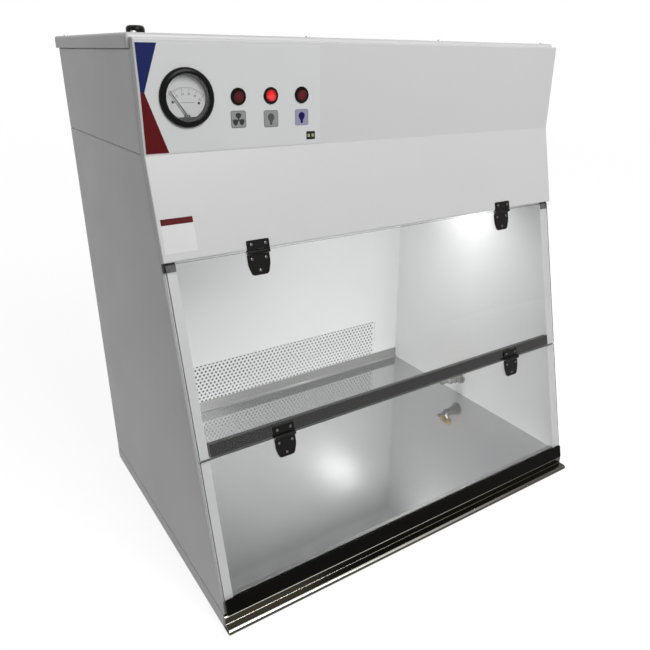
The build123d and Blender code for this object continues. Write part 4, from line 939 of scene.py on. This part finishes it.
dial_screw = pan_screw("dial_screw", 0.0017, 0.0009)
screws(dial_screw, "dial_screws", [
    facing(-0.3533, DIAL_Y, 0.7796), facing(-0.3170, DIAL_Y, 0.7775),
], black_gloss)
bpy.data.objects.remove(dial_screw)

# Floor, surroundings and lamps
bpy.ops.mesh.primitive_plane_add(size=16, location=(0, 0, -0.0002))
floor = bpy.context.object
floor.name = "studio_floor"
floor_look = bpy.data.materials.new("studio_floor")
floor_look.use_nodes = True
tree = floor_look.node_tree
paper = tree.nodes["Principled BSDF"]
paper.inputs["Base Color"].default_value = (0.30, 0.30, 0.30, 1)
paper.inputs["Roughness"].default_value = 0.9


def seen_rays(tree):
    """1 for rays from the camera, from mirrors and through glass."""
    path = node(tree, "ShaderNodeLightPath")
    first = node(tree, "ShaderNodeMath", operation="MAXIMUM")
    both = node(tree, "ShaderNodeMath", operation="MAXIMUM")
    tree.links.new(path.outputs["Is Camera Ray"], first.inputs[0])
    tree.links.new(path.outputs["Is Glossy Ray"], first.inputs[1])
    tree.links.new(first.outputs[0], both.inputs[0])
    tree.links.new(path.outputs["Is Transmission Ray"], both.inputs[1])
    return both.outputs[0]


FLOOR_GLOW = 0.88
FILL = 0.16
glow = node(tree, "ShaderNodeMath", operation="MULTIPLY")
glow.inputs[1].default_value = FLOOR_GLOW
tree.links.new(seen_rays(tree), glow.inputs[0])
paper.inputs["Emission Color"].default_value = (1, 1, 1, 1)
tree.links.new(glow.outputs[0], paper.inputs["Emission Strength"])
floor.data.materials.append(floor_look)

world = bpy.data.worlds.new("studio_world")
scene.world = world
world.use_nodes = True
tree = world.node_tree
background = tree.nodes["Background"]
background.inputs["Color"].default_value = (1, 1, 1, 1)
level = node(tree, "ShaderNodeMath", operation="MULTIPLY_ADD")
level.inputs[1].default_value = 1.0 - FILL
level.inputs[2].default_value = FILL
tree.links.new(seen_rays(tree), level.inputs[0])
tree.links.new(level.outputs[0], background.inputs["Strength"])


def area_light(name, place, aim, size, power, size_y=None):
    """A flat lamp at a place, turned towards its aim."""
    data = bpy.data.lights.new(name, "AREA")
    data.energy = power
    data.size = size
    if size_y:
        data.shape = "RECTANGLE"
        data.size_y = size_y
    lamp_object = bpy.data.objects.new(name, data)
    scene.collection.objects.link(lamp_object)
    lamp_object.location = place
    toward = Vector(aim) - Vector(place)
    lamp_object.rotation_euler = toward.to_track_quat("-Z", "Y").to_euler()
    return lamp_object


# The key light stands before the hood. Under the ceiling one lamp lights the chamber, and another
# is seen only as a glint by what mirrors
area_light("key_light", (0.35, -2.5, 2.3), (0, -0.1, 0.45), size=1.4, power=60.0)
hood_light = area_light(
    "hood_light", (0.13, 0.03, 0.572), (0.13, 0.03, 0), size=0.44, power=1.1, size_y=0.05
)
hood_light.visible_camera = False
glint_light = area_light(
    "glint_light", (0.345, 0.05, 0.565), (0.345, 0.05, 0), size=0.10, power=3.6
)
glint_light.visible_camera = False
glint_light.visible_diffuse = False
